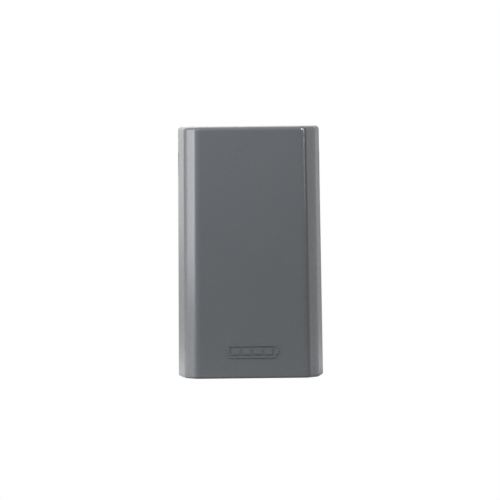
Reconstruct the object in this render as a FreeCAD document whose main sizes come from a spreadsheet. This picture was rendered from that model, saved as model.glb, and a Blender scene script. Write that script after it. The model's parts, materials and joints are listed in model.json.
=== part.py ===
import FreeCAD, Part
import Sketcher
import os
import re

# Wall battery unit, millimetres. +X is right, +Z is up and +Y points into the wall.
# The origin is the centre of the wall face; "out" is the distance from the wall, so y = -out.

SIZES = {
    # moulded front cover
    "height": 228, "depth": 86, "cover_rear": 4, "front_half": 51.4, "waist_half": 61,
    "waist_out": 64, "rear_half": 66, "draft": 0.42, "wall": 2.5, "front_round": 7,
    "waist_round": 45, "top_round": 3.5, "foot_round": 2, "tab_inner": 57, "tab_outer": 64.5,
    "tab_out": 4.6, "tab_thick": 2.6, "tab_length": 20, "tab_pitch": 80, "ledge_half": 9,
    "ledge_out": 78.5, "ledge_low": -107.5, "ledge_top": -104.8,
    # raised battery symbol on the cover
    "mark_level": -89.5, "mark_half": 22, "mark_tall": 12, "mark_line": 1.5, "mark_raise": 0.6,
    "mark_nub": 2.5, "bar_wide": 7.4, "bar_pitch": 9.8, "bar_tall": 5.6,
    # rear case
    "case_back": 8, "case_front": 68, "case_top": 109, "case_foot": -112, "tub_foot": -113.4,
    "groove": 1, "case_rear_half": 61.1, "case_waist": 62.7, "case_waist_half": 56.2,
    "case_front_half": 54, "shelf_out": 82,
    "shelf_half": 47.4, "partition_top": -58, "partition": 3, "cell_shelf": -15,
    "lid_boss_side": 46, "lid_boss_top": 102.2, "lid_boss_foot": -53, "boss_radius": 3.2,
    "notch_in": 50.5, "notch_out": 57.5, "lead_out": 25, "lead_side": 53.5,
    # wall bracket and the hooks that hang on it
    "plate_half": 45, "plate_tall": 120, "plate_thick": 2, "screw_side": 36, "screw_rise": 50,
    "flange_half": 44, "flange_out": 5.5, "window_half": 26, "window_low": -32, "window_high": 26,
    "screw_hole": 2.75, "hook_side": 18, "prong_half": 8, "prong_foot": 40, "prong_top": 51.8,
    "prong_out": 4, "hook_half": 6, "hook_drop": 42, "hook_under": 52, "hook_thick": 3,
    "lip_out": 2.4, "lip_thick": 1.2, "hook_step": 100,
    "pad_side": 48, "pad_rise": 95, "pad_radius": 6,
    # lid, seal and screws
    "seal_thick": 1, "lid_out": 69, "lid_front": 74, "lid_rear_half": 53.5, "lid_front_half": 51.2,
    "lid_round": 1.5, "lid_boss": 4.4, "head_radius": 2.7, "shank_radius": 1.45,
    "rib_half": 41, "rib_low": -45, "rib_high": 94, "rib_thick": 1.6, "rib_raise": 1.2, "rib_pitch": 13.4,
    # cells, pads and busbars
    "cell_pitch": 24.8, "cell_thick": 24.2, "cell_out": 13, "cell_deep": 50, "cell_foot": -10,
    "cell_tall": 100, "post_radius": 4, "post_tall": 2.4, "stud_radius": 2, "stud_tall": 7,
    "post_near": 25, "post_far": 51, "vent_radius": 3.5, "bar_low": 92.5, "bar_thick": 1.3,
    "nut_low": 93.9, "nut_tall": 2.7, "nut_radius": 3.9,
    "lead_level": 94.6, "lead_radius": 1.5, "lead_start": 42.5, "lead_end": 44.2, "lead_foot": -32,
    # battery management board
    "board_half": 46, "board_low": -47, "board_high": -17, "board_out": 16, "board_thick": 1.6,
    "board_screw_x": 42, "board_screw_low": -43, "board_screw_high": -21,
    "sink_left": -28, "sink_right": 10, "sink_low": -45, "sink_high": -28, "sink_out": 22.3,
    "sink_front": 36, "coil_x": 19.5, "coil_z": -35, "coil_radius": 5.5, "coil_round": 2.6,
    # connection bay
    "grommet_out": 21, "output_x": 31, "control_x": -14,
    "chassis_half": 55, "chassis_low": -108.5, "chassis_high": -62,
    "block_left": 7, "block_right": 49, "block_low": -90, "block_high": -68, "block_out": 12,
    "block_front": 36, "way_first": 13, "way_pitch": 10, "entry_out": 24,
    "entry_half": 3, "cable_radius": 3.2,
    "lever_axis_z": -71.5, "lever_axis_out": 38.6, "lever_tip": -91, "lever_half": 4,
    "barrel_radius": 2, "pin_radius": 1.25, "pin_slack": 0.05,
    "panel_left": -52, "panel_right": 3.5, "panel_low": -108, "panel_high": -64.2, "panel_out": 40,
    "panel_thick": 2, "pillar_left": -49, "pillar_right": 0, "pillar_low": -104.5,
    "pillar_high": -66.5, "pillar_radius": 3,
    "switch_x": -14, "switch_z": -74.5, "switch_out": 38, "switch_tilt": 10,
    "button_x": -14, "button_z": -95, "button_radius": 4, "button_slack": 0.05,
    "fuse_x": -37, "fuse_z": -83, "cap_axis_z": -73, "cap_axis_out": 45.7,
    "lens_x": -37, "lens_z": -99.5,
    "clamp_z": -101, "clamp_left": 4, "clamp_right": 52, "clamp_out": 31.5, "saddle_out": 20.6,
    # coin lock
    "lock_out": 70, "lock_boss": 7, "lock_boss_top": -105, "lock_radius": 4.45, "lock_bore": 4.5,
    "lock_flange": 6, "lock_top": -104, "cam_reach": 12.3, "cam_half": 2.5, "cam_thick": 2.2,
}

doc = FreeCAD.newDocument("wall_battery_unit")
sheet = doc.addObject("Spreadsheet::Sheet", "size")
for row, (alias, number) in enumerate(SIZES.items(), 1):
    sheet.set("A%d" % row, alias)
    sheet.set("B%d" % row, str(number))
    sheet.setAlias("B%d" % row, alias)
doc.recompute()

nodes = []


# ---- helpers: expressions, sketches and features -------------------------------------------

def formula(text):
    """Write the sheet's name in front of each of its aliases."""
    return re.sub(r"[a-z_]+", lambda word: "size." + word[0] if word[0] in SIZES else word[0], str(text))


def value(text):
    return float(sheet.evalExpression(formula(text)))


def new_body(label):
    body = doc.addObject("PartDesign::Body", label)
    body.Label = label
    body.AllowCompound = True
    nodes.append(body)
    return body


def origin_part(body, role):
    return [part for part in body.Origin.OriginFeatures if part.Role == role][0]


def new_sketch(body, plane, level):
    sketch = body.newObject("Sketcher::SketchObject", body.Label + "_sketch")
    sketch.AttachmentSupport = (origin_part(body, plane), [""])
    sketch.MapMode = "FlatFace"
    sketch.AttachmentOffset = FreeCAD.Placement(FreeCAD.Vector(0, 0, value(level)), FreeCAD.Rotation())
    sketch.setExpression("AttachmentOffset.Base.z", formula(level))
    return sketch


def constrain(sketch, rows):
    """Add constraints and bind each that carries a formula."""
    made = sketch.addConstraint([constraint for constraint, text in rows])
    for index, (constraint, text) in zip(made, rows):
        if text is not None:
            sketch.setExpression("Constraints[%d]" % index, formula(text))


def hold(element, end, x, y):
    return [(Sketcher.Constraint("DistanceX", -1, 1, element, end, value(x)), x),
            (Sketcher.Constraint("DistanceY", -1, 1, element, end, value(y)), y)]


def line(sketch, start, end):
    here = FreeCAD.Vector(value(start[0]), value(start[1]), 0)
    there = FreeCAD.Vector(value(end[0]), value(end[1]), 0)
    return sketch.addGeometry(Part.LineSegment(here, there), False)


def poly(*points):
    """Closed outline through the given points."""
    def draw(sketch):
        ends = points[1:] + points[:1]
        made = [line(sketch, start, end) for start, end in zip(points, ends)]
        rows = []
        for index, other, point in zip(made, made[1:] + made[:1], ends):
            rows.append((Sketcher.Constraint("Coincident", index, 2, other, 1), None))
            rows += hold(other, 1, *point)
        constrain(sketch, rows)
    return draw


def box(left, right, low, high):
    return poly((left, low), (right, low), (right, high), (left, high))


def disc(x, y, radius):
    def draw(sketch):
        centre = FreeCAD.Vector(value(x), value(y), 0)
        ring = Part.Circle(centre, FreeCAD.Vector(0, 0, 1), value(radius))
        index = sketch.addGeometry(ring, False)
        size = (Sketcher.Constraint("Radius", index, value(radius)), radius)
        constrain(sketch, hold(index, 3, x, y) + [size])
    return draw


def extrude(kind, body, plane, level, length, shapes):
    before = body.Shape.Volume if body.Tip else 0
    sketch = new_sketch(body, plane, level)
    for draw in shapes:
        draw(sketch)
    feature = body.newObject("PartDesign::" + kind, body.Label + "_" + kind.lower())
    feature.Profile = sketch
    feature.Length = value(length)
    feature.setExpression("Length", formula(length))
    doc.recompute()
    if abs(body.Shape.Volume - before) < 1e-3:
        raise ValueError(body.Label + ": a %s changed nothing" % kind)
    return feature


def pad(body, plane, level, length, *shapes):
    return extrude("Pad", body, plane, level, length, shapes)


def cut(body, plane, level, length, *shapes):
    """Pocket from the level back against the plane's normal."""
    return extrude("Pocket", body, plane, level, length, shapes)


def dress(kind, body, amount, size_name, choose):
    """Fillet or chamfer the edges of the tip that choose accepts."""
    base = body.Tip
    names = ["Edge%d" % index for index, edge in enumerate(base.Shape.Edges, 1) if choose(edge)]
    feature = body.newObject("PartDesign::" + kind, body.Label + "_" + kind.lower())
    feature.Base = (base, names)
    feature.setExpression(size_name, formula(amount))
    doc.recompute()
    return feature


def fillet(body, radius, choose):
    return dress("Fillet", body, radius, "Radius", choose)


def near(edge, axis, position, slack=0.01):
    box_ = edge.BoundBox
    low, high = {"x": (box_.XMin, box_.XMax), "y": (box_.YMin, box_.YMax), "z": (box_.ZMin, box_.ZMax)}[axis]
    return abs(low - value(position)) < slack and abs(high - value(position)) < slack


def outer_edge(edge):
    """True on the outside of the cover's open foot."""
    middle = edge.CenterOfMass
    if abs(middle.x) < 1:
        return middle.y < 0.5 - value("depth")
    slope = (value("rear_half") - value("waist_half")) / (value("waist_out") - value("cover_rear"))
    side = value("rear_half") - slope * (-middle.y - value("cover_rear"))
    facet = (value("waist_half") - value("front_half")) / (value("depth") - value("waist_out"))
    if -middle.y > value("waist_out"):
        side = value("waist_half") - facet * (-middle.y - value("waist_out"))
    return abs(middle.x) > side - 1.8


def upright(edge):
    return abs(edge.BoundBox.ZMax - edge.BoundBox.ZMin) > 0.9 * edge.Length


# ---- cover ---------------------------------------------------------------------------------

def front_cover():
    """Drafted shell, open behind and below, with six rear tabs and a catch for the lock."""
    body = new_body("front_cover")
    outline = poly(("-rear_half", "-cover_rear"), ("-waist_half", "-waist_out"), ("-front_half", "-depth"),
                   ("front_half", "-depth"), ("waist_half", "-waist_out"), ("rear_half", "-cover_rear"))
    prism = pad(body, "XY_Plane", "-height / 2", "height", outline)
    sides = [index for index, face in enumerate(prism.Shape.Faces, 1)
             if abs(face.normalAt(0, 0).z) < 0.01 and abs(face.CenterOfMass.x) > 20]
    drafted = body.newObject("PartDesign::Draft", "front_cover_draft")
    drafted.Base = (prism, ["Face%d" % index for index in sides])
    base = [index for index, face in enumerate(prism.Shape.Faces, 1) if face.CenterOfMass.z < -100]
    drafted.NeutralPlane = (prism, ["Face%d" % base[0]])
    drafted.setExpression("Angle", "size.draft")
    doc.recompute()
    half = value("height / 2")
    fillet(body, "front_round", lambda edge: upright(edge) and edge.CenterOfMass.y < -80)
    fillet(body, "waist_round", lambda edge: upright(edge) and -75 < edge.CenterOfMass.y < -50
           and abs(abs(edge.CenterOfMass.x) - 60) < 3)
    fillet(body, "top_round", lambda edge: near(edge, "z", "height / 2") and edge.CenterOfMass.y < -6)
    solid = body.Tip
    opened = ["Face%d" % index for index, face in enumerate(solid.Shape.Faces, 1)
              if face.BoundBox.YMin > -5 or face.BoundBox.ZMax < 0.01 - half]
    shell = body.newObject("PartDesign::Thickness", "front_cover_shell")
    shell.Base = (solid, opened)
    shell.setExpression("Value", "size.wall")
    shell.Reversed = True
    shell.Mode = 0
    shell.Join = 0
    doc.recompute()
    fillet(body, "foot_round", lambda edge: near(edge, "z", "-height / 2") and outer_edge(edge))
    tabs = []
    for side in (-1, 1):
        for step in (-1, 0, 1):
            ends = sorted(["%d * tab_inner" % side, "%d * tab_outer" % side], key=value)
            middle = "%d * tab_pitch" % step
            tabs.append(box(ends[0], ends[1], middle + " - tab_length / 2", middle + " + tab_length / 2"))
    pad(body, "XZ_Plane", "tab_out", "tab_thick", *tabs)
    pad(body, "XY_Plane", "ledge_low", "ledge_top - ledge_low",
        box("-ledge_half", "ledge_half", "-depth + 1", "-ledge_out"))
    mark(body)


def mark(body):
    """Generic battery symbol: an outline, a terminal nub and four bars."""
    low = "mark_level - mark_tall / 2"
    high = "mark_level + mark_tall / 2"
    pad(body, "XZ_Plane", "depth - 0.2", "mark_raise + 0.2",
        box("-mark_half", "mark_half", low, high),
        box("mark_line - mark_half", "mark_half - mark_line", low + " + mark_line", high + " - mark_line"))
    bars = [box("%g * bar_pitch - bar_wide / 2" % step, "%g * bar_pitch + bar_wide / 2" % step,
                "mark_level - bar_tall / 2", "mark_level + bar_tall / 2") for step in (-1.5, -0.5, 0.5, 1.5)]
    pad(body, "XZ_Plane", "depth - 0.2", "mark_raise + 0.2", *bars)
    pad(body, "XZ_Plane", "depth - 0.2", "mark_raise + 0.2",
        box("mark_half - 0.1", "mark_half + mark_nub", "mark_level - 2.4", "mark_level + 2.4"))


# ---- wall bracket --------------------------------------------------------------------------

def wall_bracket():
    """Sheet-metal plate with turned-up sides, a cable window and four prongs for the case to hang on."""
    body = new_body("wall_bracket")
    holes = [disc("%d * screw_side" % side, "%d * screw_rise" % rise, "screw_hole")
             for side in (-1, 1) for rise in (-1, 1)]
    pad(body, "XZ_Plane", "0", "plate_thick",
        box("-plate_half", "plate_half", "-plate_tall / 2", "plate_tall / 2"),
        box("-window_half", "window_half", "window_low", "window_high"), *holes)
    fillet(body, "6", lambda edge: edge.Length < value("plate_thick + 0.1") and abs(edge.CenterOfMass.x) > 20)
    flanges = []
    for side in (-1, 1):
        middle = "%d * (plate_half - plate_thick / 2)" % side
        flanges.append(box(middle + " - plate_thick / 2", middle + " + plate_thick / 2",
                           "-flange_half", "flange_half"))
    pad(body, "XZ_Plane", "plate_thick - 0.5", "flange_out - plate_thick + 0.5", *flanges)
    bridges = []
    prongs = []
    for side in (-1, 1):
        for drop in (0, 1):
            left = "%d * hook_side - prong_half" % side
            right = "%d * hook_side + prong_half" % side
            foot = "prong_foot - %d * hook_step" % drop
            bridges.append(box(left, right, foot, foot + " + 2"))
            prongs.append(box(left, right, foot, "prong_top - %d * hook_step" % drop))
    pad(body, "XZ_Plane", "plate_thick - 0.5", "prong_out - plate_thick + 1", *bridges)
    pad(body, "XZ_Plane", "prong_out", "plate_thick", *prongs)


def wall_pads():
    body = new_body("wall_pads")
    spots = [disc("%d * pad_side" % side, "%d * pad_rise" % rise, "pad_radius")
             for side in (-1, 1) for rise in (-1, 1)]
    pad(body, "XZ_Plane", "0.1", "case_back - 0.1", *spots)
    fillet(body, "0.8", lambda edge: near(edge, "y", "-0.1"))


# ---- rear case, seal and lid ---------------------------------------------------------------

def inner_outline(grow="0"):
    """Plan of the space inside the tub, open in front; grow widens it into the walls."""
    rear = "case_rear_half - wall + " + grow
    waist = "case_waist_half - wall + " + grow
    front = "case_front_half - wall + 0.2 + " + grow
    back = "-case_back - wall + " + grow
    right = [(rear, back), (waist, "-case_waist"), (front, "-case_front"), (front, "-shelf_out - 1")]
    left = [("-(%s)" % x, y) for x, y in reversed(right)]
    return poly(*left, *right)


def lid_spots():
    levels = ("lid_boss_foot", "lid_boss_top")
    return [("%d * lid_boss_side" % side, level) for side in (-1, 0, 1) for level in levels]


def panel_spots():
    return [(x, z) for x in ("pillar_left", "pillar_right") for z in ("pillar_low", "pillar_high")]


def board_spots():
    levels = ("board_screw_low", "board_screw_high")
    return [("%d * board_screw_x" % side, level) for side in (-1, 1) for level in levels]


def block_spots():
    return [("block_left - 2.4", "-79"), ("block_right + 2.4", "-79")]


def clamp_spots():
    return [("clamp_left + 2.8", "clamp_z"), ("clamp_right - 2.8", "clamp_z")]


def way_x(index):
    return "way_first + %d * way_pitch" % index


def outer_outline():
    return poly(("-case_rear_half", "-case_back"), ("-case_waist_half", "-case_waist"),
                ("-case_front_half", "-case_front"), ("case_front_half", "-case_front"),
                ("case_waist_half", "-case_waist"), ("case_rear_half", "-case_back"))


def rear_case():
    """Deep sealed tub for the cells and their board; its floor is the roof of the connection bay."""
    body = new_body("rear_case")
    bay_top = "partition_top - partition"
    pad(body, "XY_Plane", bay_top, "case_top - (%s)" % bay_top, outer_outline())
    fillet(body, "2", lambda edge: near(edge, "z", "case_top") and edge.CenterOfMass.y > -66)
    cut(body, "XY_Plane", "case_top - wall", "case_top - wall - partition_top", inner_outline())
    case_supports(body)
    case_openings(body)
    case_hooks(body)


def bay_shroud():
    """Walls of the connection bay, welded under the tub, with a groove for the cable plate."""
    body = new_body("bay_shroud")
    top = "partition_top - partition - 0.05"
    pad(body, "XY_Plane", "tub_foot", top + " - tub_foot", outer_outline())
    cut(body, "XY_Plane", top, top + " - tub_foot", inner_outline())
    cut(body, "XY_Plane", "case_foot + wall + 0.05", "wall + 0.1", inner_outline("groove"))
    cut(body, "XZ_Plane", "case_back + wall", "1.6", *[disc(x, z, "1.25") for x, z in block_spots()])


def case_supports(body):
    lid_bosses = [disc(x, z, "boss_radius") for x, z in lid_spots()]
    pad(body, "XZ_Plane", "case_back + 1", "case_front - case_back - 1", *lid_bosses)
    ribs = [box(x + " - 1.2", x + " + 1.2", "lid_boss_top", "case_top - 1") for x in
            ("-lid_boss_side", "0", "lid_boss_side")]
    ribs += [box(x + " - 1.2", x + " + 1.2", "partition_top - 1", "lid_boss_foot") for x in
             ("-lid_boss_side", "0", "lid_boss_side")]
    pad(body, "XZ_Plane", "case_back + 1", "case_front - case_back - 1.4", *ribs)
    pad(body, "XY_Plane", "cell_shelf", "wall",
        poly(("0.5 - case_rear_half", "-case_back - 1"), ("1.6 - case_waist_half", "-60"),
             ("case_waist_half - 1.6", "-60"), ("case_rear_half - 0.5", "-case_back - 1")))
    pad(body, "XZ_Plane", "case_back + 1", "board_out - case_back - 1",
        *[disc(x, z, "2.8") for x, z in board_spots()])


def case_openings(body):
    cut(body, "XZ_Plane", "case_front", "22", *[disc(x, z, "shank_radius + 0.05") for x, z in lid_spots()])
    cut(body, "XZ_Plane", "board_out", "7", *[disc(x, z, "1.25") for x, z in board_spots()])
    cut(body, "XY_Plane", "cell_shelf + wall", "wall",
        box("notch_in", "notch_out", "-lead_out - 5", "5 - lead_out"),
        box("-notch_out", "-notch_in", "-lead_out - 5", "5 - lead_out"))
    cut(body, "XY_Plane", "partition_top", "partition",
        disc("output_x", "-grommet_out", "5"), disc("control_x", "-grommet_out", "5"),
        disc("-38", "-44", "4"))


def cable_plate():
    """Floor of the bay: slides into the tub's groove and carries the cable holes and the lock."""
    body = new_body("cable_plate")
    reach = "groove - 0.1"
    rear = "case_rear_half - wall + " + reach
    waist = "case_waist_half - wall + " + reach
    front = "case_front_half - wall + 0.2 + " + reach
    right = [(rear, "-case_back - wall + " + reach), (waist, "-case_waist"), (front, "-case_front"),
             ("shelf_half", "-shelf_out")]
    left = [("-(%s)" % x, y) for x, y in reversed(right)]
    pad(body, "XY_Plane", "case_foot", "wall", poly(*left, *right))
    fillet(body, "1", lambda edge: upright(edge) and near(edge, "y", "-shelf_out"))
    pad(body, "XY_Plane", "case_foot", "lock_boss_top - case_foot", disc("0", "-lock_out", "lock_boss"))
    entries = [disc(way_x(index), "-entry_out", "4") for index in range(4)]
    cut(body, "XY_Plane", "case_foot + wall", "wall", *entries)
    cut(body, "XY_Plane", "lock_boss_top", "lock_boss_top - case_foot", disc("0", "-lock_out", "lock_bore"))


def bay_chassis():
    """Mounting plate in the bay with pillars for the panel, pads for the block and a cable saddle."""
    body = new_body("bay_chassis")
    pad(body, "XZ_Plane", "case_back + wall + 0.1", "block_out - case_back - wall - 0.1",
        box("-chassis_half", "chassis_half", "chassis_low", "chassis_high"))
    pad(body, "XZ_Plane", "case_back + wall + 0.5", "panel_out - case_back - wall - 0.5",
        *[disc(x, z, "pillar_radius") for x, z in panel_spots()])
    pad(body, "XZ_Plane", "case_back + wall + 0.5", "saddle_out - case_back - wall - 0.5",
        box("clamp_left", "clamp_right", "clamp_z - 3", "clamp_z + 3"))
    cut(body, "XZ_Plane", "panel_out", "16", *[disc(x, z, "1.25") for x, z in panel_spots()])
    cut(body, "XZ_Plane", "saddle_out", "8", *[disc(x, z, "1.25") for x, z in clamp_spots()])
    cut(body, "XZ_Plane", "block_out", "2", *[disc(x, z, "1.25") for x, z in block_spots()])


def case_hooks(body):
    """Hooks behind the case that drop over the prongs of the bracket."""
    tops = []
    lips = []
    for side in (-1, 1):
        for drop in (0, 1):
            left = "%d * hook_side - hook_half" % side
            right = "%d * hook_side + hook_half" % side
            under = "hook_under - %d * hook_step" % drop
            tops.append(box(left, right, under, under + " + hook_thick"))
            lips.append(box(left, right, "hook_drop - %d * hook_step" % drop, under + " + hook_thick"))
    pad(body, "XZ_Plane", "lip_out", "case_back - lip_out + 0.5", *tops)
    pad(body, "XZ_Plane", "lip_out", "lip_thick", *lips)


def case_seal():
    body = new_body("case_seal")
    pad(body, "XZ_Plane", "case_front", "seal_thick",
        box("0.6 - case_front_half", "case_front_half - 0.6",
            "partition_top - partition + 0.5", "case_top - 0.5"),
        box("2 - case_front_half", "case_front_half - 2", "partition_top - 0.8", "case_top - wall + 0.8"))


def case_lid():
    """Shallow tray over the tub with screw wells; a rim and five ribs stiffen its face."""
    body = new_body("case_lid")
    foot = "partition_top - partition"
    pad(body, "XY_Plane", foot, "case_top - " + foot.replace("-", "+"),
        poly(("-lid_rear_half", "-lid_out"), ("-lid_front_half", "-lid_front"),
             ("lid_front_half", "-lid_front"), ("lid_rear_half", "-lid_out")))
    fillet(body, "lid_round", lambda edge: near(edge, "y", "-lid_front"))
    cut(body, "XZ_Plane", "lid_front - wall", "lid_front - wall - lid_out",
        box("wall - lid_front_half", "lid_front_half - wall", foot + " + wall", "case_top - wall"))
    pad(body, "XZ_Plane", "lid_out", "lid_front - lid_out - 1",
        *[disc(x, z, "lid_boss") for x, z in lid_spots()])
    cut(body, "XZ_Plane", "lid_front", "2.3", *[disc(x, z, "head_radius + 0.3") for x, z in lid_spots()])
    cut(body, "XZ_Plane", "lid_front - 2", "lid_front - lid_out",
        *[disc(x, z, "1.7") for x, z in lid_spots()])
    pad(body, "XZ_Plane", "lid_front - 0.5", "rib_raise + 0.5",
        box("-rib_half", "rib_half", "rib_low", "rib_high"),
        box("rib_thick - rib_half", "rib_half - rib_thick", "rib_low + rib_thick", "rib_high - rib_thick"))
    ribs = [box("%d * rib_pitch - rib_thick / 2" % step, "%d * rib_pitch + rib_thick / 2" % step,
                "rib_low + rib_thick / 2", "rib_high - rib_thick / 2") for step in (-2, -1, 0, 1, 2)]
    pad(body, "XZ_Plane", "lid_front - 0.5", "rib_raise + 0.4", *ribs)


def screws(label, groups, length, head="head_radius", shank="1.2"):
    """Identical cross-head screws; each group is its spots and the out distance under the heads."""
    body = new_body(label)
    for spots, seat in groups:
        front = seat + " + 2"
        pad(body, "XZ_Plane", seat, "2", *[disc(x, z, head) for x, z in spots])
        pad(body, "XZ_Plane", "%s - %s" % (seat, length), "%s + 0.2" % length,
            *[disc(x, z, shank) for x, z in spots])
        for wide, tall in (("1.5", "0.4"), ("0.4", "1.5")):
            slots = [box("%s - %s" % (x, wide), "%s + %s" % (x, wide),
                         "%s - %s" % (z, tall), "%s + %s" % (z, tall)) for x, z in spots]
            cut(body, "XZ_Plane", front, "0.9", *slots)
        fillet(body, "0.5", lambda edge: near(edge, "y", "-(%s)" % front) and edge.Length > 10)


# ---- cells and their connections -----------------------------------------------------------

def battery_cell(number):
    """Prismatic cell with two terminal posts and a vent on top."""
    body = new_body("battery_cell_%d" % number)
    middle = "%g * cell_pitch" % (number - 2.5)
    top = "cell_foot + cell_tall"
    pad(body, "XY_Plane", "cell_foot", "cell_tall",
        box(middle + " - cell_thick / 2", middle + " + cell_thick / 2", "-cell_out - cell_deep", "-cell_out"))
    fillet(body, "1.5", upright)
    posts = ("-post_near", "-post_far")
    pad(body, "XY_Plane", top + " - 0.5", "post_tall + 0.5",
        *[disc(middle, out, "post_radius") for out in posts])
    pad(body, "XY_Plane", top, "stud_tall", *[disc(middle, out, "stud_radius") for out in posts])
    cut(body, "XY_Plane", top, "0.5", disc(middle, "-cell_out - cell_deep / 2", "vent_radius"))


def cell_spacers():
    body = new_body("cell_spacers")
    sheets = [box("%d * cell_pitch - 0.2" % step, "%d * cell_pitch + 0.2" % step,
                  "-cell_out - cell_deep", "-cell_out") for step in (-1, 0, 1)]
    pad(body, "XY_Plane", "cell_foot", "cell_tall - 1", *sheets)


def cell_pads():
    base = new_body("cell_base_pad")
    pad(base, "XY_Plane", "cell_shelf + wall + 0.1", "cell_foot - cell_shelf - wall - 0.2",
        box("-49", "49", "-cell_out - cell_deep", "-cell_out"))
    rear = new_body("cell_rear_pad")
    pad(rear, "XZ_Plane", "case_back + wall + 0.1", "cell_out - case_back - wall - 0.2",
        box("-49", "49", "cell_foot", "cell_foot + cell_tall - 2"))
    front = new_body("cell_front_pad")
    pad(front, "XZ_Plane", "cell_out + cell_deep + 0.1", "lid_front - wall - cell_out - cell_deep - 0.2",
        box("-47", "47", "cell_foot + 4", "cell_foot + cell_tall - 6"))
    fillet(front, "3", lambda edge: abs(abs(edge.CenterOfMass.x) - 47) < 0.1 and edge.Length < 10)


def busbars():
    body = new_body("busbars")
    plates = []
    for step, out in ((-1, "-post_far"), (0, "-post_near"), (1, "-post_far")):
        middle = "%d * cell_pitch" % step
        plates.append(box(middle + " - cell_pitch / 2 - 5", middle + " + cell_pitch / 2 + 5",
                          out + " - 5", out + " + 5"))
        for side in (-1, 1):
            plates.append(disc(middle + " + %g * cell_pitch" % (side / 2), out, "stud_radius + 0.1"))
    pad(body, "XY_Plane", "bar_low", "bar_thick", *plates)
    fillet(body, "2",
           lambda edge: upright(edge) and edge.Length < 2 and edge.Curve.TypeId == "Part::GeomLine")


def hexagon(x, y, radius):
    corners = ((1, 0), (0.5, 0.866), (-0.5, 0.866), (-1, 0), (-0.5, -0.866), (0.5, -0.866))
    return poly(*[("%s + %g * %s" % (x, right, radius), "%s + %g * %s" % (y, up, radius))
                  for right, up in corners])


def terminal_nuts():
    body = new_body("terminal_nuts")
    shapes = []
    for number in range(4):
        for out in ("-post_near", "-post_far"):
            middle = "%g * cell_pitch" % (number - 1.5)
            shapes += [hexagon(middle, out, "nut_radius"), disc(middle, out, "stud_radius + 0.1")]
    pad(body, "XY_Plane", "nut_low", "nut_tall", *shapes)


def battery_lead(label, side):
    """Cable lug on the end cell and the cable down the side of the pack to the board."""
    body = new_body(label)
    post = "%g * cell_pitch" % (1.5 * side)
    ends = sorted([post + " - %d * 4.5" % side, "%d * 45" % side], key=value)
    pad(body, "XY_Plane", "bar_low", "bar_thick", box(ends[0], ends[1], "-lead_out - 4.5", "4.5 - lead_out"),
        disc(post, "-lead_out", "stud_radius + 0.1"))
    start = "%d * lead_start" % side
    path = new_sketch(body, "XZ_Plane", "lead_out")
    points = [(start, "lead_level"), ("%d * (lead_side - 3)" % side, "lead_level"),
              ("%d * lead_side" % side, "lead_level - 3"), ("%d * lead_side" % side, "lead_foot + 3"),
              ("%d * (lead_side - 3)" % side, "lead_foot"), ("%d * lead_end" % side, "lead_foot")]
    made = [line(path, here, there) for here, there in zip(points, points[1:])]
    rows = [(Sketcher.Constraint("Coincident", index, 2, index + 1, 1), None) for index in made[:-1]]
    for index, point in zip(made, points):
        rows += hold(index, 1, *point)
    constrain(path, rows + hold(made[-1], 2, *points[-1]))
    ring = new_sketch(body, "YZ_Plane", start)
    disc("-lead_out", "lead_level", "lead_radius")(ring)
    cable = body.newObject("PartDesign::AdditivePipe", label + "_cable")
    cable.Profile = ring
    cable.Spine = path
    cable.Transition = "Round corner"
    doc.recompute()


# ---- board ---------------------------------------------------------------------------------

FACE = "board_out + board_thick"


def bms_board():
    body = new_body("bms_board")
    pad(body, "XZ_Plane", "board_out", "board_thick",
        box("-board_half", "board_half", "board_low", "board_high"),
        *[disc(x, z, "1.5") for x, z in board_spots()])


def on_board(label, height, shapes, lift="0.05"):
    body = new_body(label)
    pad(body, "XZ_Plane", FACE + " + " + lift, height, *shapes)
    return body


def board_parts():
    on_board("board_transistors", "4.5",
             [box("%d" % x, "%d" % (x + 9), "-44", "-29") for x in (-27, -17, -7)])
    body = on_board("board_capacitors", "12", [disc("%d" % x, "-22.5", "4") for x in (-22, -12, -2)])
    fillet(body, "0.8", lambda edge: near(edge, "y", "-(board_out + board_thick + 12.05)"))
    on_board("board_chips", "1.5", [box("9", "18", "-26", "-18.5"), box("21", "27", "-25", "-19.5")])
    blocks = on_board("board_terminals", "11",
                      [box("30", "44", "-38", "-26"), box("-44", "-30", "-38", "-26")])
    cut(blocks, "XZ_Plane", FACE + " + 11.05", "2",
        *[disc("%g" % x, "-32", "2.6") for x in (-40, -34, 34, 40)])
    plug = on_board("board_plugs", "6.4",
                    [box("26", "36", "-46.8", "-41"), box("-19", "-9", "-46.8", "-44.6")])
    cut(plug, "XZ_Plane", FACE + " + 6.45", "1", box("27.5", "34.5", "-45.6", "-42.2"))


def heat_sink():
    """Aluminium block with seven fins, clamped on the transistors."""
    body = new_body("heat_sink")
    pad(body, "XZ_Plane", "sink_out", "3", box("sink_left", "sink_right", "sink_low + 2.5", "sink_high"))
    fins = [box("sink_left + %g" % (6.1 * step), "sink_left + %g + 1.4" % (6.1 * step),
                "sink_low + 2.5", "sink_high")
            for step in range(7)]
    pad(body, "XZ_Plane", "sink_out + 2.5", "sink_front - sink_out - 2.5", *fins)


def board_inductor():
    """Wound ring core lying on the board."""
    core = doc.addObject("Part::Torus", "board_inductor")
    core.Label = "board_inductor"
    core.setExpression("Radius1", formula("coil_radius"))
    core.setExpression("Radius2", formula("coil_round"))
    centre = FreeCAD.Vector(value("coil_x"), -value(FACE) - value("coil_round") - 0.05, value("coil_z"))
    core.Placement = FreeCAD.Placement(centre, FreeCAD.Rotation(FreeCAD.Vector(1, 0, 0), 90))
    nodes.append(core)


# ---- connection bay ------------------------------------------------------------------------

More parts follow.
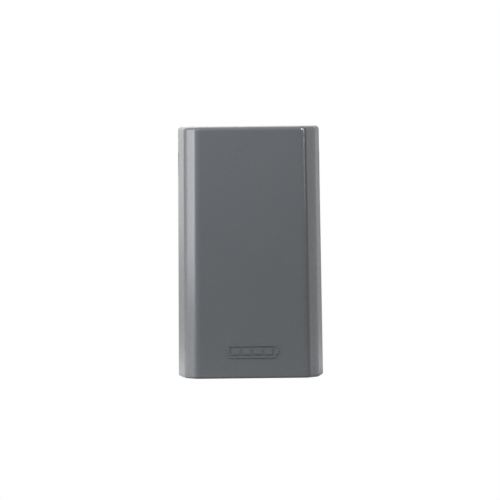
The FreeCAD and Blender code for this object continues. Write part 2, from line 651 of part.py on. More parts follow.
def wire_grommets():
    body = new_body("wire_grommets")
    for low, tall, radius in (("partition_top - partition - 1.3", "1.2", "6.4"),
                              ("partition_top - partition - 0.2", "partition + 0.4", "4.9"),
                              ("partition_top + 0.1", "1.2", "6.4")):
        pad(body, "XY_Plane", low, tall, disc("output_x", "-grommet_out", radius),
            disc("control_x", "-grommet_out", radius))
    cut(body, "XY_Plane", "partition_top + 2", "8", *[disc(x, "-grommet_out", "1.3") for x in
        ("output_x - 2", "output_x + 2", "control_x - 2", "control_x + 2")])


def harnesses():
    output = new_body("output_wires")
    pad(output, "XY_Plane", "block_high + 0.1", "board_low - block_high - 0.2",
        disc("output_x - 2", "-grommet_out", "1.2"), disc("output_x + 2", "-grommet_out", "1.2"))
    control = new_body("control_wires")
    pad(control, "XY_Plane", "switch_z + 6.6", "board_low - switch_z - 6.8",
        disc("control_x - 2", "-grommet_out", "1.2"), disc("control_x + 2", "-grommet_out", "1.2"))


def vent_plug():
    body = new_body("vent_plug")
    pad(body, "XY_Plane", "partition_top - partition - 2.5", "2.4", disc("-38", "-44", "6"))
    pad(body, "XY_Plane", "partition_top - partition - 0.2", "partition + 1.5", disc("-38", "-44", "3.9"))
    fillet(body, "0.8", lambda edge: near(edge, "z", "partition_top - partition - 2.5"))


def terminal_block():
    """Four-way lever terminal with square wire entries below and hinge cheeks in front."""
    body = new_body("terminal_block")
    pad(body, "XZ_Plane", "block_out", "block_front - block_out",
        box("block_left", "block_right", "block_low", "block_high"))
    pad(body, "XZ_Plane", "block_out", "3", box("block_left - 5", "block_right + 5", "-82", "-76"))
    cheeks = [box("%s - way_pitch / 2 - 0.9" % way_x(index), "%s - way_pitch / 2 + 0.9" % way_x(index),
                  "lever_axis_z - 3.5", "lever_axis_z + 3.5") for index in range(5)]
    pad(body, "XZ_Plane", "block_front - 1", "lever_axis_out - block_front + 4", *cheeks)
    entries = [box(way_x(index) + " - entry_half", way_x(index) + " + entry_half",
                   "-entry_out - entry_half", "entry_half - entry_out") for index in range(4)]
    cut(body, "XY_Plane", "block_low + 12", "12", *entries)
    cut(body, "YZ_Plane", "block_right", "block_right - block_left",
        disc("-lever_axis_out", "lever_axis_z", "pin_radius + pin_slack"))
    cut(body, "XZ_Plane", "block_out + 3", "3", *[disc(x, z, "1.6") for x, z in block_spots()])


def terminal_clamps():
    body = new_body("terminal_clamps")
    shapes = []
    for index in range(4):
        for half in ("entry_half - 0.1", "entry_half - 0.8"):
            shapes.append(box("%s - (%s)" % (way_x(index), half), "%s + %s" % (way_x(index), half),
                              "-entry_out - (%s)" % half, "%s - entry_out" % half))
    pad(body, "XY_Plane", "block_low + 4", "6", *shapes)


def terminal_lever(index):
    body = new_body("terminal_lever_%d" % (index + 1))
    middle = way_x(index)
    low = "lever_axis_out - barrel_radius"
    pad(body, "XZ_Plane", low, "2.2",
        box(middle + " - lever_half", middle + " + lever_half", "lever_tip", "lever_axis_z"))
    fillet(body, "1.2", lambda edge: near(edge, "z", "lever_tip") and edge.Length < 3)
    pad(body, "YZ_Plane", middle + " - lever_half", "2 * lever_half",
        disc("-lever_axis_out", "lever_axis_z", "barrel_radius"))
    pad(body, "YZ_Plane", middle + " - lever_half - 0.7", "2 * lever_half + 1.4",
        disc("-lever_axis_out", "lever_axis_z", "pin_radius"))
    pad(body, "XZ_Plane", "lever_axis_out", "1.2",
        box(middle + " - lever_half + 1", middle + " + lever_half - 1", "lever_tip + 1", "lever_tip + 3"))


def cable_grommets():
    body = new_body("cable_grommets")
    spots = [way_x(index) for index in range(4)]
    pad(body, "XY_Plane", "case_foot - 1.3", "1.2", *[disc(x, "-entry_out", "4.7") for x in spots])
    pad(body, "XY_Plane", "case_foot - 0.2", "wall + 0.4", *[disc(x, "-entry_out", "3.9") for x in spots])
    pad(body, "XY_Plane", "case_foot + wall + 0.1", "1.2", *[disc(x, "-entry_out", "4.7") for x in spots])
    cut(body, "XY_Plane", "case_foot + wall + 3", "8",
        *[disc(x, "-entry_out", "cable_radius") for x in spots])


def cable_clamp():
    body = new_body("cable_clamp")
    foot = "-saddle_out - 0.1"
    pad(body, "XY_Plane", "clamp_z - 3", "6",
        poly(("clamp_left", foot), ("clamp_left + 5.5", foot), ("clamp_left + 5.5", "-clamp_out + 4"),
             ("clamp_right - 5.5", "-clamp_out + 4"), ("clamp_right - 5.5", foot), ("clamp_right", foot),
             ("clamp_right", "-clamp_out"), ("clamp_left", "-clamp_out")))
    cut(body, "XZ_Plane", "clamp_out", "clamp_out - saddle_out",
        *[disc(x, z, "1.6") for x, z in clamp_spots()])


def control_panel():
    body = new_body("control_panel")
    pad(body, "XZ_Plane", "panel_out", "panel_thick",
        box("panel_left", "panel_right", "panel_low", "panel_high"),
        box("fuse_x - 8", "fuse_x + 8", "fuse_z - 9", "fuse_z + 9"),
        box("switch_x - 9.5", "switch_x + 9.5", "switch_z - 6.5", "switch_z + 6.5"),
        box("lens_x - 7", "lens_x + 7", "lens_z - 1.5", "lens_z + 1.5"),
        disc("button_x", "button_z", "5.1"),
        *[disc(x, z, "1.4") for x, z in panel_spots()])
    fillet(body, "2.5", lambda edge: edge.Length < 2.1
           and (near(edge, "x", "panel_left") or near(edge, "x", "panel_right")))


def switch_frame():
    body = new_body("switch_frame")
    pad(body, "XZ_Plane", "24", "panel_out + panel_thick - 24",
        box("switch_x - 9.3", "switch_x + 9.3", "switch_z - 6.3", "switch_z + 6.3"))
    pad(body, "XZ_Plane", "panel_out + panel_thick", "1.6",
        box("switch_x - 11", "switch_x + 11", "switch_z - 8", "switch_z + 8"))
    cut(body, "XZ_Plane", "panel_out + panel_thick + 1.6", "13",
        box("switch_x - 7.5", "switch_x + 7.5", "switch_z - 4.5", "switch_z + 4.5"))
    cut(body, "XY_Plane", "switch_z + 5.8", "11.6", disc("switch_x", "-switch_out", "pin_radius + pin_slack"))
    fillet(body, "0.7", lambda edge: near(edge, "y", "-(panel_out + panel_thick + 1.6)")
           and edge.BoundBox.DiagonalLength > 15.5)


def switch_rocker():
    """Rocker drawn level about its pin, then tilted to the off position."""
    body = new_body("switch_rocker")
    pad(body, "XY_Plane", "-4.3", "8.6",
        poly(("-6.4", "-6.2"), ("0", "-5"), ("6.4", "-6.2"), ("6.4", "-2"),
             ("3.5", "3"), ("-3.5", "3"), ("-6.4", "-2")))
    pad(body, "XY_Plane", "-5.5", "11", disc("0", "0", "pin_radius"))
    centre = FreeCAD.Vector(value("switch_x"), -value("switch_out"), value("switch_z"))
    tilt = FreeCAD.Rotation(FreeCAD.Vector(0, 0, 1), value("switch_tilt"))
    body.Placement = FreeCAD.Placement(centre, tilt)


def button_parts():
    bezel = new_body("button_bezel")
    pad(bezel, "XZ_Plane", "panel_out + panel_thick", "1.5", disc("button_x", "button_z", "6.6"))
    pad(bezel, "XZ_Plane", "panel_out - 10", "10 + panel_thick", disc("button_x", "button_z", "5"))
    cut(bezel, "XZ_Plane", "panel_out + panel_thick + 1.5", "11.5",
        disc("button_x", "button_z", "button_radius + button_slack"))
    fillet(bezel, "0.6",
           lambda edge: near(edge, "y", "-(panel_out + panel_thick + 1.5)") and edge.Length > 30)
    cap = new_body("test_button")
    pad(cap, "XZ_Plane", "panel_out - 3.9", "10", disc("button_x", "button_z", "button_radius"))
    fillet(cap, "0.7", lambda edge: near(edge, "y", "-(panel_out + 6.1)"))
    spring = new_body("button_spring")
    ring = new_sketch(spring, "XZ_Plane", "0")
    disc("2.6", "0", "0.3")(ring)
    coil = spring.newObject("PartDesign::AdditiveHelix", "button_spring_coil")
    coil.Profile = ring
    coil.ReferenceAxis = (origin_part(spring, "Z_Axis"), [""])
    coil.Mode = 0
    coil.Pitch = 1
    coil.Height = 3
    doc.recompute()
    seat = FreeCAD.Vector(value("button_x"), -value("panel_out - 7.6"), value("button_z"))
    spring.Placement = FreeCAD.Placement(seat, FreeCAD.Rotation(FreeCAD.Vector(1, 0, 0), 90))


def status_parts():
    lens = new_body("status_lens")
    pad(lens, "XZ_Plane", "panel_out - 0.5", "panel_thick + 1.1",
        box("lens_x - 6.9", "lens_x + 6.9", "lens_z - 1.4", "lens_z + 1.4"))
    board = new_body("status_board")
    pad(board, "XZ_Plane", "panel_out - 4", "1.2",
        box("lens_x - 8.5", "lens_x + 8.5", "lens_z - 2.8", "lens_z + 4.2"))
    lamps = new_body("status_lamps")
    pad(lamps, "XZ_Plane", "panel_out - 2.75", "1.6",
        *[box("lens_x + %g" % x, "lens_x + %g + 1.6" % x, "lens_z - 0.8", "lens_z + 0.8")
          for x in (-6, -2.5, 1, 4.5)])


def fuse_parts():
    """Fuse carrier through the panel, blade fuse and hinged cap."""
    front = "panel_out + panel_thick"
    holder = new_body("fuse_holder")
    pad(holder, "XZ_Plane", "20", front + " - 20",
        box("fuse_x - 7.9", "fuse_x + 7.9", "fuse_z - 8.9", "fuse_z + 8.9"))
    pad(holder, "XZ_Plane", front, "2", box("fuse_x - 9.5", "fuse_x + 9.5", "fuse_z - 10.5", "fuse_z + 11.8"))
    cut(holder, "XZ_Plane", front + " + 2", "18", box("fuse_x - 3", "fuse_x + 3", "fuse_z - 7", "fuse_z + 7"))
    blades = [box("fuse_x - 0.6", "fuse_x + 0.6", low, high) for low, high in
              (("fuse_z - 4.7", "fuse_z - 1.5"), ("fuse_z + 1.5", "fuse_z + 4.7"))]
    cut(holder, "XZ_Plane", front + " - 16", "4.6", *blades)
    knuckles = [box("fuse_x - 9", "fuse_x - 6.1", "cap_axis_z - 1.7", "cap_axis_z + 1.7"),
                box("fuse_x + 6.1", "fuse_x + 9", "cap_axis_z - 1.7", "cap_axis_z + 1.7")]
    pad(holder, "XZ_Plane", front + " + 1.5", "cap_axis_out - panel_out - panel_thick + 0.2", *knuckles)
    cut(holder, "YZ_Plane", "fuse_x + 9", "18", disc("-cap_axis_out", "cap_axis_z", "0.95"))
    fuse = new_body("blade_fuse")
    pad(fuse, "XZ_Plane", "30.2", "8.8", box("fuse_x - 1.9", "fuse_x + 1.9", "fuse_z - 5.4", "fuse_z + 5.4"))
    prongs = [box("fuse_x - 0.4", "fuse_x + 0.4", low, high) for low, high in
              (("fuse_z - 4.5", "fuse_z - 1.7"), ("fuse_z + 1.7", "fuse_z + 4.5"))]
    pad(fuse, "XZ_Plane", "22.4", "8", *prongs)
    cap = new_body("fuse_cap")
    pad(cap, "XZ_Plane", front + " + 2.1", "2",
        box("fuse_x - 6", "fuse_x + 6", "fuse_z - 9", "cap_axis_z"))
    fillet(cap, "1.5", lambda edge: near(edge, "z", "fuse_z - 9") and edge.Length < 3)
    pad(cap, "YZ_Plane", "fuse_x - 6", "12", disc("-cap_axis_out", "cap_axis_z", "1.5"))
    pad(cap, "YZ_Plane", "fuse_x - 8.5", "17", disc("-cap_axis_out", "cap_axis_z", "0.9"))


def lock_parts():
    """Coin-turned lock in the bottom shelf, with a cam that turns over the cover's catch."""
    barrel = new_body("lock_barrel")
    pad(barrel, "XY_Plane", "case_foot - 1.35", "1.3", disc("0", "-lock_out", "lock_flange"))
    pad(barrel, "XY_Plane", "case_foot - 0.1", "lock_top - case_foot + 0.1",
        disc("0", "-lock_out", "lock_radius"))
    pad(barrel, "XY_Plane", "lock_top - 0.5", "cam_thick + 0.5",
        box("-2", "2", "-lock_out - 2", "2 - lock_out"))
    cut(barrel, "XY_Plane", "case_foot - 0.55", "1", box("-5", "5", "-lock_out - 0.8", "0.8 - lock_out"))
    cut(barrel, "XY_Plane", "lock_top + 3", "8", disc("0", "-lock_out", "1.3"))
    cam = new_body("lock_cam")
    pad(cam, "XY_Plane", "lock_top + 0.02", "cam_thick", disc("0", "-lock_out", "4.2"),
        box("-2.05", "2.05", "-lock_out - 2.05", "2.05 - lock_out"))
    pad(cam, "XY_Plane", "lock_top + 0.02", "cam_thick",
        box("3", "cam_reach", "-lock_out - cam_half", "cam_half - lock_out"))
    screw = new_body("lock_screw")
    pad(screw, "XY_Plane", "lock_top + cam_thick + 0.1", "1.8", disc("0", "-lock_out", "3"))
    pad(screw, "XY_Plane", "lock_top - 3", "cam_thick + 3.2", disc("0", "-lock_out", "1.25"))


# ---- assemble, check and write -------------------------------------------------------------

def build():
    wall_bracket()
    rear_case()
    bay_shroud()
    wall_pads()
    case_seal()
    case_lid()
    cable_plate()
    bay_chassis()
    screws("lid_screws", [(lid_spots(), "lid_front - 2.25")], "18", shank="shank_radius")
    for number in range(1, 5):
        battery_cell(number)
    cell_spacers()
    cell_pads()
    busbars()
    terminal_nuts()
    battery_lead("lead_negative", -1)
    battery_lead("lead_positive", 1)
    bms_board()
    screws("small_screws", [(board_spots(), FACE), (block_spots(), "block_out + 3")], "6", head="2.3")
    board_parts()
    heat_sink()
    board_inductor()
    wire_grommets()
    harnesses()
    vent_plug()
    terminal_block()
    terminal_clamps()
    for index in range(4):
        terminal_lever(index)
    cable_grommets()
    cable_clamp()
    control_panel()
    screws("bay_screws", [(panel_spots(), "panel_out + panel_thick"), (clamp_spots(), "clamp_out")], "15")
    switch_frame()
    switch_rocker()
    button_parts()
    status_parts()
    fuse_parts()
    lock_parts()
    front_cover()


def export():
    doc.recompute()
    for item in doc.Objects:
        if "Invalid" in item.State or "Error" in item.State:
            raise RuntimeError("%s did not recompute" % item.Name)
    for node in nodes:
        if node.Shape.isNull() or not node.Shape.isValid() or not node.Shape.Solids:
            raise RuntimeError("%s has no valid solid" % node.Label)
    os.makedirs("parts", exist_ok=True)
    for node in nodes:
        node.Shape.exportStep("parts/%s.step" % node.Label)
    print(len(nodes), "sub-parts written")


build()
export()
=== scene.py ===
import json
import math

import bmesh
import bpy
from mathutils import Matrix, Vector
from mathutils.bvhtree import BVHTree


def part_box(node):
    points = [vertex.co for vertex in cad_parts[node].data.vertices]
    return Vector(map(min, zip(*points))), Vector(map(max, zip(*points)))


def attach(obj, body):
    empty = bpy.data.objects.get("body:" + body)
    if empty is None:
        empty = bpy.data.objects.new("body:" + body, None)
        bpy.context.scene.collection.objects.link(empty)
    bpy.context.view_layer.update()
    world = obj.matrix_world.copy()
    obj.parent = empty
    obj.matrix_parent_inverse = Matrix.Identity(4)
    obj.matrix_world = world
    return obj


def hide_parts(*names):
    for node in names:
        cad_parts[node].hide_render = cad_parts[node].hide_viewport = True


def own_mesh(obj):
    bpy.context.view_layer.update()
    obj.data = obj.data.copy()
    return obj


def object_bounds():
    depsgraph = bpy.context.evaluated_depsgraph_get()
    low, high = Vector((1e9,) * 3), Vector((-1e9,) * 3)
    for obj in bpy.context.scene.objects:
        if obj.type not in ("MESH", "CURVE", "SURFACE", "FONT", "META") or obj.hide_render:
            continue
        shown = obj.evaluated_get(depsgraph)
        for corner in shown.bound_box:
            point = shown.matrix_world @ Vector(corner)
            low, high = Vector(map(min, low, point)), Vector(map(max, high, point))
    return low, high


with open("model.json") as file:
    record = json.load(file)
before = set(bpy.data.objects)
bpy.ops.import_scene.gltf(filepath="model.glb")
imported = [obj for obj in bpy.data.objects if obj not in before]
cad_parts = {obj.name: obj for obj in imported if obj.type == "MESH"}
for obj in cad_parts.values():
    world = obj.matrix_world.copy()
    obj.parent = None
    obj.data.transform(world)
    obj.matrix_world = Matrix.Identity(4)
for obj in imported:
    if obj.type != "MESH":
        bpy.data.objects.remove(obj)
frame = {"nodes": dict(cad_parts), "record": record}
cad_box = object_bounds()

nodes = frame["nodes"]
scene = bpy.context.scene
scene.view_settings.view_transform = "Standard"


# ---- materials -----------------------------------------------------------------------------

def rgb(red, green, blue):
    """Linear colour from sRGB steps."""
    def linear(step):
        part = step / 255
        return part / 12.92 if part <= 0.04045 else ((part + 0.055) / 1.055) ** 2.4
    return (linear(red), linear(green), linear(blue), 1)


class Shader:
    """A Principled material whose colour, roughness and bump come from nodes."""

    def __init__(self, name, roughness=0.5, metallic=0.0, **inputs):
        self.material = bpy.data.materials.new(name)
        self.material.use_nodes = True
        self.tree = self.material.node_tree
        self.surface = self.tree.nodes["Principled BSDF"]
        self.surface.inputs["Roughness"].default_value = roughness
        self.surface.inputs["Metallic"].default_value = metallic
        for key, number in inputs.items():
            self.surface.inputs[key.replace("_", " ")].default_value = number
        self.place = self.add("ShaderNodeTexCoord").outputs["Object"]
        self.bump = None

    def add(self, kind, **settings):
        node = self.tree.nodes.new(kind)
        for key, setting in settings.items():
            setattr(node, key, setting)
        return node

    def link(self, source, target):
        self.tree.links.new(source, target)

    def noise(self, scale, detail=2.0, stretch=None):
        """Fine noise, 0 to 1; scale is in features per metre."""
        node = self.add("ShaderNodeTexNoise")
        node.inputs["Scale"].default_value = scale
        node.inputs["Detail"].default_value = detail
        place = self.place
        if stretch:
            mapping = self.add("ShaderNodeMapping")
            mapping.inputs["Scale"].default_value = stretch
            self.link(place, mapping.inputs["Vector"])
            place = mapping.outputs["Vector"]
        self.link(place, node.inputs["Vector"])
        return node.outputs["Fac"]

    def ramp(self, source, low, high, start=0.0, end=1.0):
        """Map a 0 to 1 value to a range of numbers."""
        node = self.add("ShaderNodeMapRange")
        node.inputs["From Min"].default_value = start
        node.inputs["From Max"].default_value = end
        node.inputs["To Min"].default_value = low
        node.inputs["To Max"].default_value = high
        self.link(source, node.inputs["Value"])
        return node.outputs["Result"]

    def mix(self, source, first, second):
        """Mix two colours or links by a 0 to 1 value."""
        node = self.add("ShaderNodeMix", data_type="RGBA")
        self.link(source, node.inputs["Factor"])
        for value, name in ((first, "A"), (second, "B")):
            target = [slot for slot in node.inputs if slot.name == name and slot.type == "RGBA"][0]
            if isinstance(value, tuple):
                target.default_value = value
            else:
                self.link(value, target)
        return [slot for slot in node.outputs if slot.type == "RGBA"][0]

    def colour(self, source):
        self.link(source, self.surface.inputs["Base Color"])

    def rough(self, source):
        self.link(source, self.surface.inputs["Roughness"])

    def relief(self, source, height, strength=1.0):
        """Add a bump of that height in metres on top of the ones before."""
        node = self.add("ShaderNodeBump")
        node.inputs["Strength"].default_value = strength
        node.inputs["Distance"].default_value = height
        self.link(source, node.inputs["Height"])
        if self.bump:
            self.link(self.bump, node.inputs["Normal"])
        self.bump = node.outputs["Normal"]
        self.link(self.bump, self.surface.inputs["Normal"])

    def recolour_sharp_edges(self, source, shade, size=0.0006, amount=0.5):
        """Lighten or darken the sharp edges of a piece."""
        bevel = self.add("ShaderNodeBevel", samples=4)
        bevel.inputs["Radius"].default_value = size
        geometry = self.add("ShaderNodeNewGeometry")
        dot = self.add("ShaderNodeVectorMath", operation="DOT_PRODUCT")
        self.link(bevel.outputs["Normal"], dot.inputs[0])
        self.link(geometry.outputs["Normal"], dot.inputs[1])
        return self.mix(self.ramp(dot.outputs["Value"], amount, 0.0, 0.75, 0.97), source, shade)


def plastic(name, low, high, roughness=0.45, grain=2600, depth=0.00003, **inputs):
    """Moulded plastic: fine spark-eroded grain, slow mottling, and sharp edges painted slightly lighter as a
    painted highlight.
    """
    shader = Shader(name, roughness, **inputs)
    tint = shader.mix(shader.noise(35, 3), low, high)
    # Sharp edges are painted lighter than the lightest tone of the plastic: a painted highlight.
    edge_highlight_gain = 1.35
    painted_edge_highlight = tuple(min(1, edge_highlight_gain * part) for part in high[:3]) + (1,)
    shader.colour(shader.recolour_sharp_edges(tint, painted_edge_highlight, amount=0.35))
    fine = shader.noise(grain, 2)
    shader.rough(shader.ramp(fine, roughness - 0.05, roughness + 0.07, 0.3, 0.7))
    shader.relief(shader.noise(60, 2), 0.00002, 0.5)
    shader.relief(fine, depth)
    return shader.material


def metal(name, low, high, roughness=0.3, stretch=(1, 1, 30), scale=300, depth=0.00001):
    """Plated or brushed metal with fine drawn lines and cloudy plating."""
    shader = Shader(name, roughness, 1.0)
    shader.colour(shader.mix(shader.noise(70, 4), low, high))
    lines = shader.noise(scale, 3, stretch)
    shader.rough(shader.ramp(lines, roughness - 0.08, roughness + 0.12, 0.3, 0.7))
    shader.relief(lines, depth)
    return shader.material


def wrapped_cell(name, low, high):
    """Cell in a glossy shrink wrap that stops at the top plate, where the bare posts begin."""
    shader = Shader(name, 0.3)
    height = shader.add("ShaderNodeSeparateXYZ")
    shader.link(shader.place, height.inputs["Vector"])
    post_height, blend = 0.0023, 0.00005
    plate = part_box("busbars")[0].z - post_height
    bare = shader.ramp(height.outputs["Z"], 0, 1, plate, plate + blend)
    shader.link(bare, shader.surface.inputs["Metallic"])
    wrap = shader.mix(shader.noise(35, 3), low, high)
    post = shader.mix(shader.noise(400, 3), rgb(186, 188, 190), rgb(208, 210, 212))
    shader.colour(shader.mix(bare, wrap, post))
    wrinkles = shader.noise(90, 3, (1, 1, 0.2))
    shader.rough(shader.ramp(wrinkles, 0.24, 0.38, 0.3, 0.7))
    shader.relief(wrinkles, 0.00015, 0.6)
    shader.relief(shader.noise(900, 2), 0.000008)
    return shader.material


def galvanised(name, dull, bright):
    """Hot-dipped zinc: flat crystals a few millimetres wide, each with its own shade and gloss."""
    shader = Shader(name, 0.4, 1.0)
    crystals = shader.add("ShaderNodeTexVoronoi")
    crystals.inputs["Scale"].default_value = 190
    drift = shader.add("ShaderNodeVectorMath", operation="MULTIPLY_ADD")
    cloud = shader.add("ShaderNodeTexNoise")
    cloud.inputs["Scale"].default_value = 260
    shader.link(shader.place, cloud.inputs["Vector"])
    shader.link(cloud.outputs["Color"], drift.inputs[0])
    drift.inputs[1].default_value = (0.006, 0.006, 0.006)
    shader.link(shader.place, drift.inputs[2])
    shader.link(drift.outputs["Vector"], crystals.inputs["Vector"])
    shade = shader.add("ShaderNodeSeparateColor")
    shader.link(crystals.outputs["Color"], shade.inputs["Color"])
    tint = shader.mix(shade.outputs["Red"], dull, bright)
    shader.colour(shader.recolour_sharp_edges(tint, rgb(226, 228, 230), amount=0.5))
    shader.rough(shader.ramp(shade.outputs["Green"], 0.3, 0.52))
    shader.relief(shader.noise(900, 2), 0.000004)
    return shader.material


def rubber(name, low, high, roughness=0.75):
    shader = Shader(name, roughness)
    shader.colour(shader.mix(shader.noise(120, 4), low, high))
    fine = shader.noise(3500, 2)
    shader.rough(shader.ramp(fine, roughness - 0.08, roughness + 0.1, 0.3, 0.7))
    shader.relief(fine, 0.00004)
    return shader.material


def foam(name, low, high):
    """Closed-cell foam: small round pores, each painted darker towards its hollow centre as painted shade.
    """
    shader = Shader(name, 0.95)
    cells = shader.add("ShaderNodeTexVoronoi")
    cells.inputs["Scale"].default_value = 900
    shader.link(shader.place, cells.inputs["Vector"])
    # Darker at the middle of each pore, where the bump is lowest: painted shade in the hollows.
    shader.colour(shader.mix(shader.ramp(cells.outputs["Distance"], 0, 1, 0.1, 0.7), low, high))
    shader.relief(cells.outputs["Distance"], 0.0004)
    return shader.material


MATERIALS = {
    "cover": plastic("cover_plastic", rgb(92, 95, 99), rgb(96, 99, 102), 0.28, grain=2200, depth=0.000008),
    "case": plastic("case_plastic", rgb(70, 72, 75), rgb(78, 80, 83), 0.5),
    "bracket": galvanised("zinc_sheet", rgb(162, 166, 170), rgb(186, 190, 193)),
    "rubber": rubber("black_rubber", rgb(26, 26, 27), rgb(38, 38, 39)),
    "seal": rubber("seal_rubber", rgb(44, 45, 47), rgb(60, 60, 62)),
    "screw": metal("zinc_screw", rgb(176, 178, 180), rgb(208, 208, 206), 0.28, (8, 8, 8), 500, 0.0000015),
    "cell": wrapped_cell("cell_wrap", rgb(28, 84, 142), rgb(36, 98, 160)),
    "film": plastic("insulating_sheet", rgb(196, 190, 168), rgb(214, 208, 188), 0.55, grain=700),
    "foam": foam("grey_foam", rgb(52, 53, 56), rgb(92, 93, 96)),
    "busbar": metal("nickel_plate", rgb(186, 182, 170), rgb(212, 208, 196), 0.25, (1, 14, 1), 240),
    "lead_black": rubber("black_sheath", rgb(20, 20, 21), rgb(30, 30, 31), 0.5),
    "lead_red": rubber("red_sheath", rgb(150, 18, 14), rgb(176, 28, 22), 0.5),
    "circuit_board": plastic("solder_mask", rgb(14, 78, 44), rgb(22, 98, 56), 0.32, grain=1400),
    "component": plastic("component_black", rgb(30, 30, 32), rgb(40, 40, 42), 0.5),
    "capacitor": plastic("capacitor_sleeve", rgb(28, 34, 62), rgb(36, 44, 78), 0.25, grain=900),
    "terminal_green": plastic("terminal_green", rgb(40, 128, 70), rgb(50, 146, 82), 0.42),
    "plug": plastic("plug_ivory", rgb(214, 208, 192), rgb(228, 224, 210), 0.45),
    "sink": metal("anodised_sink", rgb(122, 126, 130), rgb(146, 150, 154), 0.42, (1, 30, 1), 300),
    "coil": metal("enamelled_copper", rgb(158, 82, 36), rgb(196, 112, 52), 0.25, (6, 6, 6), 700),
    "wire": rubber("grey_insulation", rgb(120, 121, 124), rgb(140, 141, 144), 0.5),
    "vent": plastic("vent_grey", rgb(120, 122, 124), rgb(134, 136, 138), 0.5),
    "block": plastic("block_grey", rgb(150, 152, 154), rgb(166, 168, 170), 0.45),
    "clamp_metal": metal("clamp_brass", rgb(178, 148, 88), rgb(204, 176, 112), 0.3, (4, 4, 4), 400),
    "lever": plastic("lever_orange", rgb(206, 92, 22), rgb(222, 108, 34), 0.35),
    "panel": plastic("panel_grey", rgb(112, 114, 117), rgb(122, 124, 127), 0.5),
    "switch_black": plastic("switch_black", rgb(24, 24, 26), rgb(32, 32, 34), 0.35),
    "rocker": plastic("rocker_red", rgb(158, 26, 20), rgb(176, 36, 28), 0.28),
    "bezel": metal("bezel_chrome", rgb(196, 198, 202), rgb(222, 224, 226), 0.12, (10, 10, 10), 500,
                   0.0000005),
    "button": plastic("button_green", rgb(42, 124, 66), rgb(52, 140, 78), 0.35),
    "spring": metal("spring_wire", rgb(150, 152, 156), rgb(180, 182, 184), 0.22, (5, 5, 5), 900, 0.000001),
    "lens": plastic("clear_lens", rgb(214, 232, 226), rgb(226, 240, 236), 0.12, Transmission_Weight=0.85),
    "lamp": plastic("lamp_body", rgb(228, 226, 200), rgb(240, 238, 214), 0.3),
    "fuse": plastic("fuse_blue", rgb(40, 84, 176), rgb(52, 98, 194), 0.2, Transmission_Weight=0.25),
    "fuse_cap": plastic("fuse_cap_dark", rgb(46, 47, 50), rgb(56, 57, 60), 0.4),
    "lock": metal("lock_nickel", rgb(176, 176, 172), rgb(204, 203, 198), 0.22, (3, 3, 20), 400, 0.000002),
}


def dress_nodes():
    """Give every CAD node the procedural material of its record slot."""
    slots = {entry["node"]: entry["material_slot"] for entry in frame["record"]["subparts"]}
    for name, node in nodes.items():
        node.data.materials.clear()
        node.data.materials.append(MATERIALS[slots[name]])


# ---- mesh tools, in millimetres: right, out from the wall, up ------------------------------

MM = 0.001
WELD = 0.001 * MM
SHARP_ANGLE = math.radians(38)
TURN = 2 * math.pi
AXIS = {
    "out": Matrix(((1, 0, 0), (0, 0, -1), (0, 1, 0))),
    "up": Matrix.Identity(3),
    "right": Matrix(((0, 0, 1), (1, 0, 0), (0, 1, 0))),
}


def at(x, out, z):
    """Scene point of a place in millimetres."""
    return Vector((x, -out, z)) * MM


class Extent:
    """Box round a set of scene points, in millimetres: right, out, up."""

    def __init__(self, points):
        spans = [(min(values), max(values)) for values in zip(*points)]
        self.left, self.right = (value / MM for value in spans[0])
        self.outer, self.inner = (-value / MM for value in spans[1])
        self.low, self.high = (value / MM for value in spans[2])
        self.x = (self.left + self.right) / 2
        self.out = (self.inner + self.outer) / 2
        self.z = (self.low + self.high) / 2
        self.wide = self.right - self.left
        self.deep = self.outer - self.inner
        self.tall = self.high - self.low


def extent(node):
    """Extent of one CAD node."""
    return Extent(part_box(node))


def solids(node):
    """Extents of a node's separate solids, from left to right and then upwards."""
    bm = bmesh.new()
    bm.from_mesh(nodes[node].data)
    bmesh.ops.remove_doubles(bm, verts=bm.verts, dist=WELD)
    waiting = set(bm.verts)
    found = []
    while waiting:
        island = [waiting.pop()]
        for vert in island:
            for edge in vert.link_edges:
                other = edge.other_vert(vert)
                if other in waiting:
                    waiting.discard(other)
                    island.append(other)
        found.append(Extent([tuple(vert.co) for vert in island]))
    bm.free()
    return sorted(found, key=lambda solid: (round(solid.x), solid.z))


def bridge(bm, rings):
    """Faces between successive rings of vertices."""
    for first, second in zip(rings, rings[1:]):
        for index, vert in enumerate(first):
            after = (index + 1) % len(first)
            bm.faces.new((vert, first[after], second[after], second[index]))


def skin(bm, rings, closed=False):
    """Faces between rings of points; closed joins the last ring to the first, else both ends get caps."""
    made = [[bm.verts.new(point) for point in ring] for ring in rings]
    if closed:
        made.append(made[0])
    else:
        bm.faces.new(made[0][::-1])
        bm.faces.new(made[-1])
    bridge(bm, made)


def turned(bm, centre, axis, profile, steps=36):
    """Revolve a closed loop of (radius, height along the axis) about a scene point."""
    rings = []
    for step in range(steps):
        across, over = math.cos(TURN * step / steps), math.sin(TURN * step / steps)
        rings.append([centre + AXIS[axis] @ Vector((radius * across, radius * over, height)) * MM
                      for radius, height in profile])
    skin(bm, rings, closed=True)
    bmesh.ops.remove_doubles(bm, verts=bm.verts, dist=WELD / 2)
    bmesh.ops.dissolve_degenerate(bm, edges=bm.edges, dist=WELD / 2)
    bmesh.ops.delete(bm, geom=[edge for edge in bm.edges if edge.is_wire], context="EDGES")


def circle(radius, steps=24, x=0):
    """Points round a circle in a flat section."""
    turns = [TURN * step / steps for step in range(steps)]
    return [(x + radius * math.cos(turn), radius * math.sin(turn)) for turn in turns]


def sweep(bm, path, section, closed=False):
    """Carry a section along a path of scene points without twisting it."""
    ahead = (path[1] - path[0]).normalized()
    side = Vector((0, 0, 1)) if abs(ahead.z) < 0.9 else Vector((1, 0, 0))
    rings = []
    for index, point in enumerate(path):
        before = path[index - 1] if index or closed else point
        after = path[(index + 1) % len(path)] if index < len(path) - 1 or closed else point
        along = (after - before).normalized()
        side = (side - along * side.dot(along)).normalized()
        over = along.cross(side)
        rings.append([point + (side * across + over * up) * MM for across, up in section])
    skin(bm, rings, closed)


